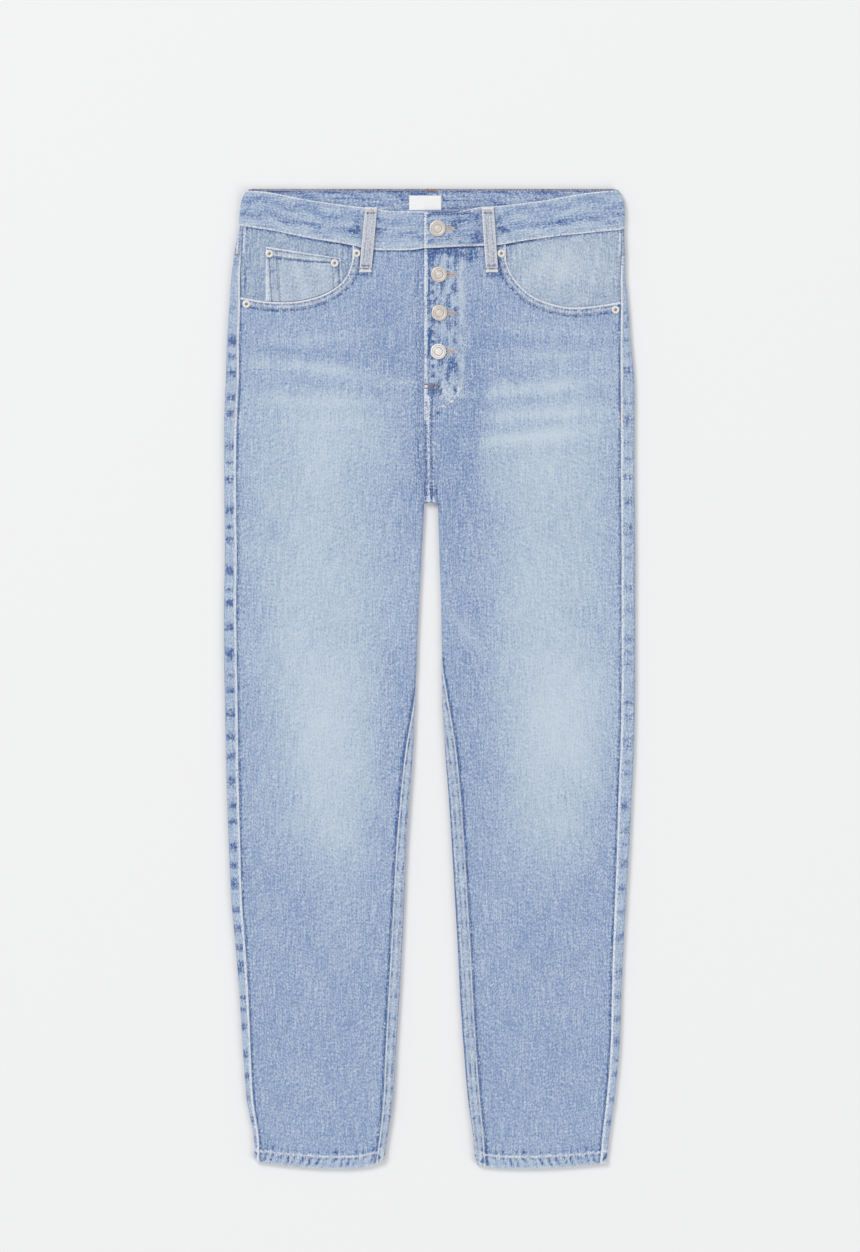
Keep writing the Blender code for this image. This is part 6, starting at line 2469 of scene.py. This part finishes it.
# Width and length that each piece is cut to, in metres, its flat area, and the pieces it lies on
CUT_SIZES: dict[str, tuple[float, float, float, str]] = {
    "front_right": (0.222, 0.998, 0.176, "back_right pocket_facing_right"),
    "front_left": (0.226, 1.000, 0.178, "back_left button_stand"),
    "back_right": (0.262, 0.990, 0.209, "back_pocket_right"),
    "back_left": (0.262, 0.990, 0.211, "back_pocket_left"),
    "yoke_right": (0.226, 0.072, 0.0118, "belt_loop_back_right"),
    "yoke_left": (0.226, 0.072, 0.0118, "belt_loop_back_left"),
    "pocket_facing_right": (0.134, 0.096, 0.0100, "yoke_right back_right"),
    "pocket_facing_left": (0.138, 0.098, 0.0104, "yoke_left back_left"),
    "coin_pocket": (0.083, 0.060, 0.0039, "pocket_facing_right"),
    "back_pocket_right": (0.138, 0.153, 0.0188, ""),
    "back_pocket_left": (0.138, 0.153, 0.0188, ""),
    "button_stand": (0.036, 0.160, 0.0053, "back_left back_right"),
    "waistband": (0.870, 0.042, 0.0350, "belt_loop_back_right belt_loop_back_left yoke_right yoke_left"),
    "belt_loop_front_right": (0.0132, 0.072, 0.00095, "waistband front_right"),
    "belt_loop_front_left": (0.0132, 0.072, 0.00095, "waistband front_left"),
    "belt_loop_back_right": (0.0132, 0.070, 0.00092, ""),
    "belt_loop_back_left": (0.0132, 0.070, 0.00092, ""),
    "belt_loop_back_centre": (0.0132, 0.070, 0.00092, ""),
    "waist_label": (0.0346, 0.0158, 0.00054, "waistband"),
}


@dataclass
class Garment:
    """The whole garment: its cloth by name, and the stitches that several pieces share."""

    wardrobe: Wardrobe
    panels: dict[str, bpy.types.Object] = field(default_factory=dict)

    def __post_init__(self) -> None:
        """Opens the shared stitches."""
        self.pale = Sewing("loop_stitches")
        self.tan = Sewing("tan_stitches")
        self.brown = Sewing("fly_bartack_stitches")

    def sides(self) -> None:
        """Builds and sews the fronts, backs, yokes, pocket facings and patch pockets."""
        for side in Side:
            word = side.name.lower()
            front = FrontPanel(side)
            for panel in (front, BackPanel(side), Yoke(side)):
                self.panels[f"{panel.KIND}_{word}"] = panel.make(self.wardrobe)
                stitches = panel.sew().make(self.wardrobe.thread)
                LOG.info("%s: %d faces", stitches.name, len(stitches.data.polygons))
            front.sew_grey().make(self.wardrobe.grey_thread)
            self.panels[f"pocket_facing_{word}"] = PocketFacing(side).make(self.wardrobe)
            self.panels[f"back_pocket_{word}"], patch = BackPocket(side).make(self.wardrobe)
            patch.make(self.wardrobe.thread)

    def middle(self) -> None:
        """Builds and sews the coin pocket, the button stand, the waistband and its label."""
        panels, wardrobe = self.panels, self.wardrobe
        panels["coin_pocket"], coin = CoinPocket(panels["pocket_facing_right"]).make(wardrobe)
        coin.make(wardrobe.grey_thread)
        panels["button_stand"] = ButtonStand().make(wardrobe)
        band = Waistband()
        panels["waistband"] = band.make(wardrobe)
        for rows, thread in zip(band.sew(), (wardrobe.thread, wardrobe.brown_thread)):
            rows.make(thread)
        panels["waist_label"] = Label().make(panels["waistband"], wardrobe)

    def loops(self) -> None:
        """Builds and sews the five belt loops."""
        loops, threads = BeltLoops(), (self.pale, self.tan, self.brown)
        for row, word in enumerate(("right", "left")):
            under = [self.panels["waistband"], self.panels[f"front_{word}"]]
            outer, self.panels[f"belt_loop_front_{word}"] = loops.front(row, under, self.wardrobe)
            loops.sew(outer, 1.0, *threads)
        for word, x, beyond in (("right", -130.0, 0.4), ("left", 130.0, 0.4), ("centre", 1.1, 1.3)):
            outer, cloth = loops.back(word, x, BACK_TOP + beyond, self.wardrobe)
            self.panels[f"belt_loop_back_{word}"] = cloth
            loops.sew(outer, -1.0, *threads)

    def ends(self) -> None:
        """Sews the bars at both ends of the hips' edge stitch, and one at the middle of the band's back."""
        for side in Side:
            start = Tube(side).back_start
            low = np.linspace(806, 826, 12)
            self.tan.row(*BackPanel(side).path(start(low) - 2.2, low), 2.6, 2.9, 1.3)
            across = start(np.array([HIP_TOP])) - np.linspace(0.8, 8.6, 16)
            self.brown.row(*Yoke(side).path(across, HIP_TOP), 1.2, 1.35, 2.0)
        ends = np.array([[-4.6, BACK_TOP - 1.6], [6.8, BACK_TOP - 1.6]])
        rise = rise_over([self.panels["waistband"]], ends[:, 0], ends[:, 1]).max() + 0.1
        self.brown.bar(np.array([*ends[0], rise]), np.array([*ends[1], rise]), UP, 2.6)

    def close(self) -> None:
        """Joins the shared stitches and logs each piece's face count."""
        self.pale.make(self.wardrobe.thread)
        self.tan.make(self.wardrobe.tan_thread)
        self.brown.make(self.wardrobe.brown_thread)
        for name, (width, length, area, rests) in CUT_SIZES.items():
            piece = self.panels[name]
            LOG.info("%s: %d faces", name, len(piece.data.polygons))


def main() -> None:
    """Builds the studio, the garment and its sewing, and reports each piece."""
    logging.basicConfig(level=logging.INFO, format="%(message)s")
    studio = Studio()
    studio.camera()
    studio.lights()
    studio.floor()
    garment = Garment(Wardrobe.sewn())
    garment.sides()
    garment.middle()
    garment.loops()
    Buttons().make(garment.panels, garment.wardrobe)
    Rivets().make(garment.panels, garment.wardrobe)
    sew_fly(garment.panels, garment.tan, garment.brown)
    garment.ends()
    garment.close()


if __name__ == "__main__":
    solid_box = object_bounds()
    main()
    boxes = {"cad": solid_box, "visual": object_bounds()}
    {key: [[float(v) for v in corner] for corner in box] for key, box in boxes.items()}
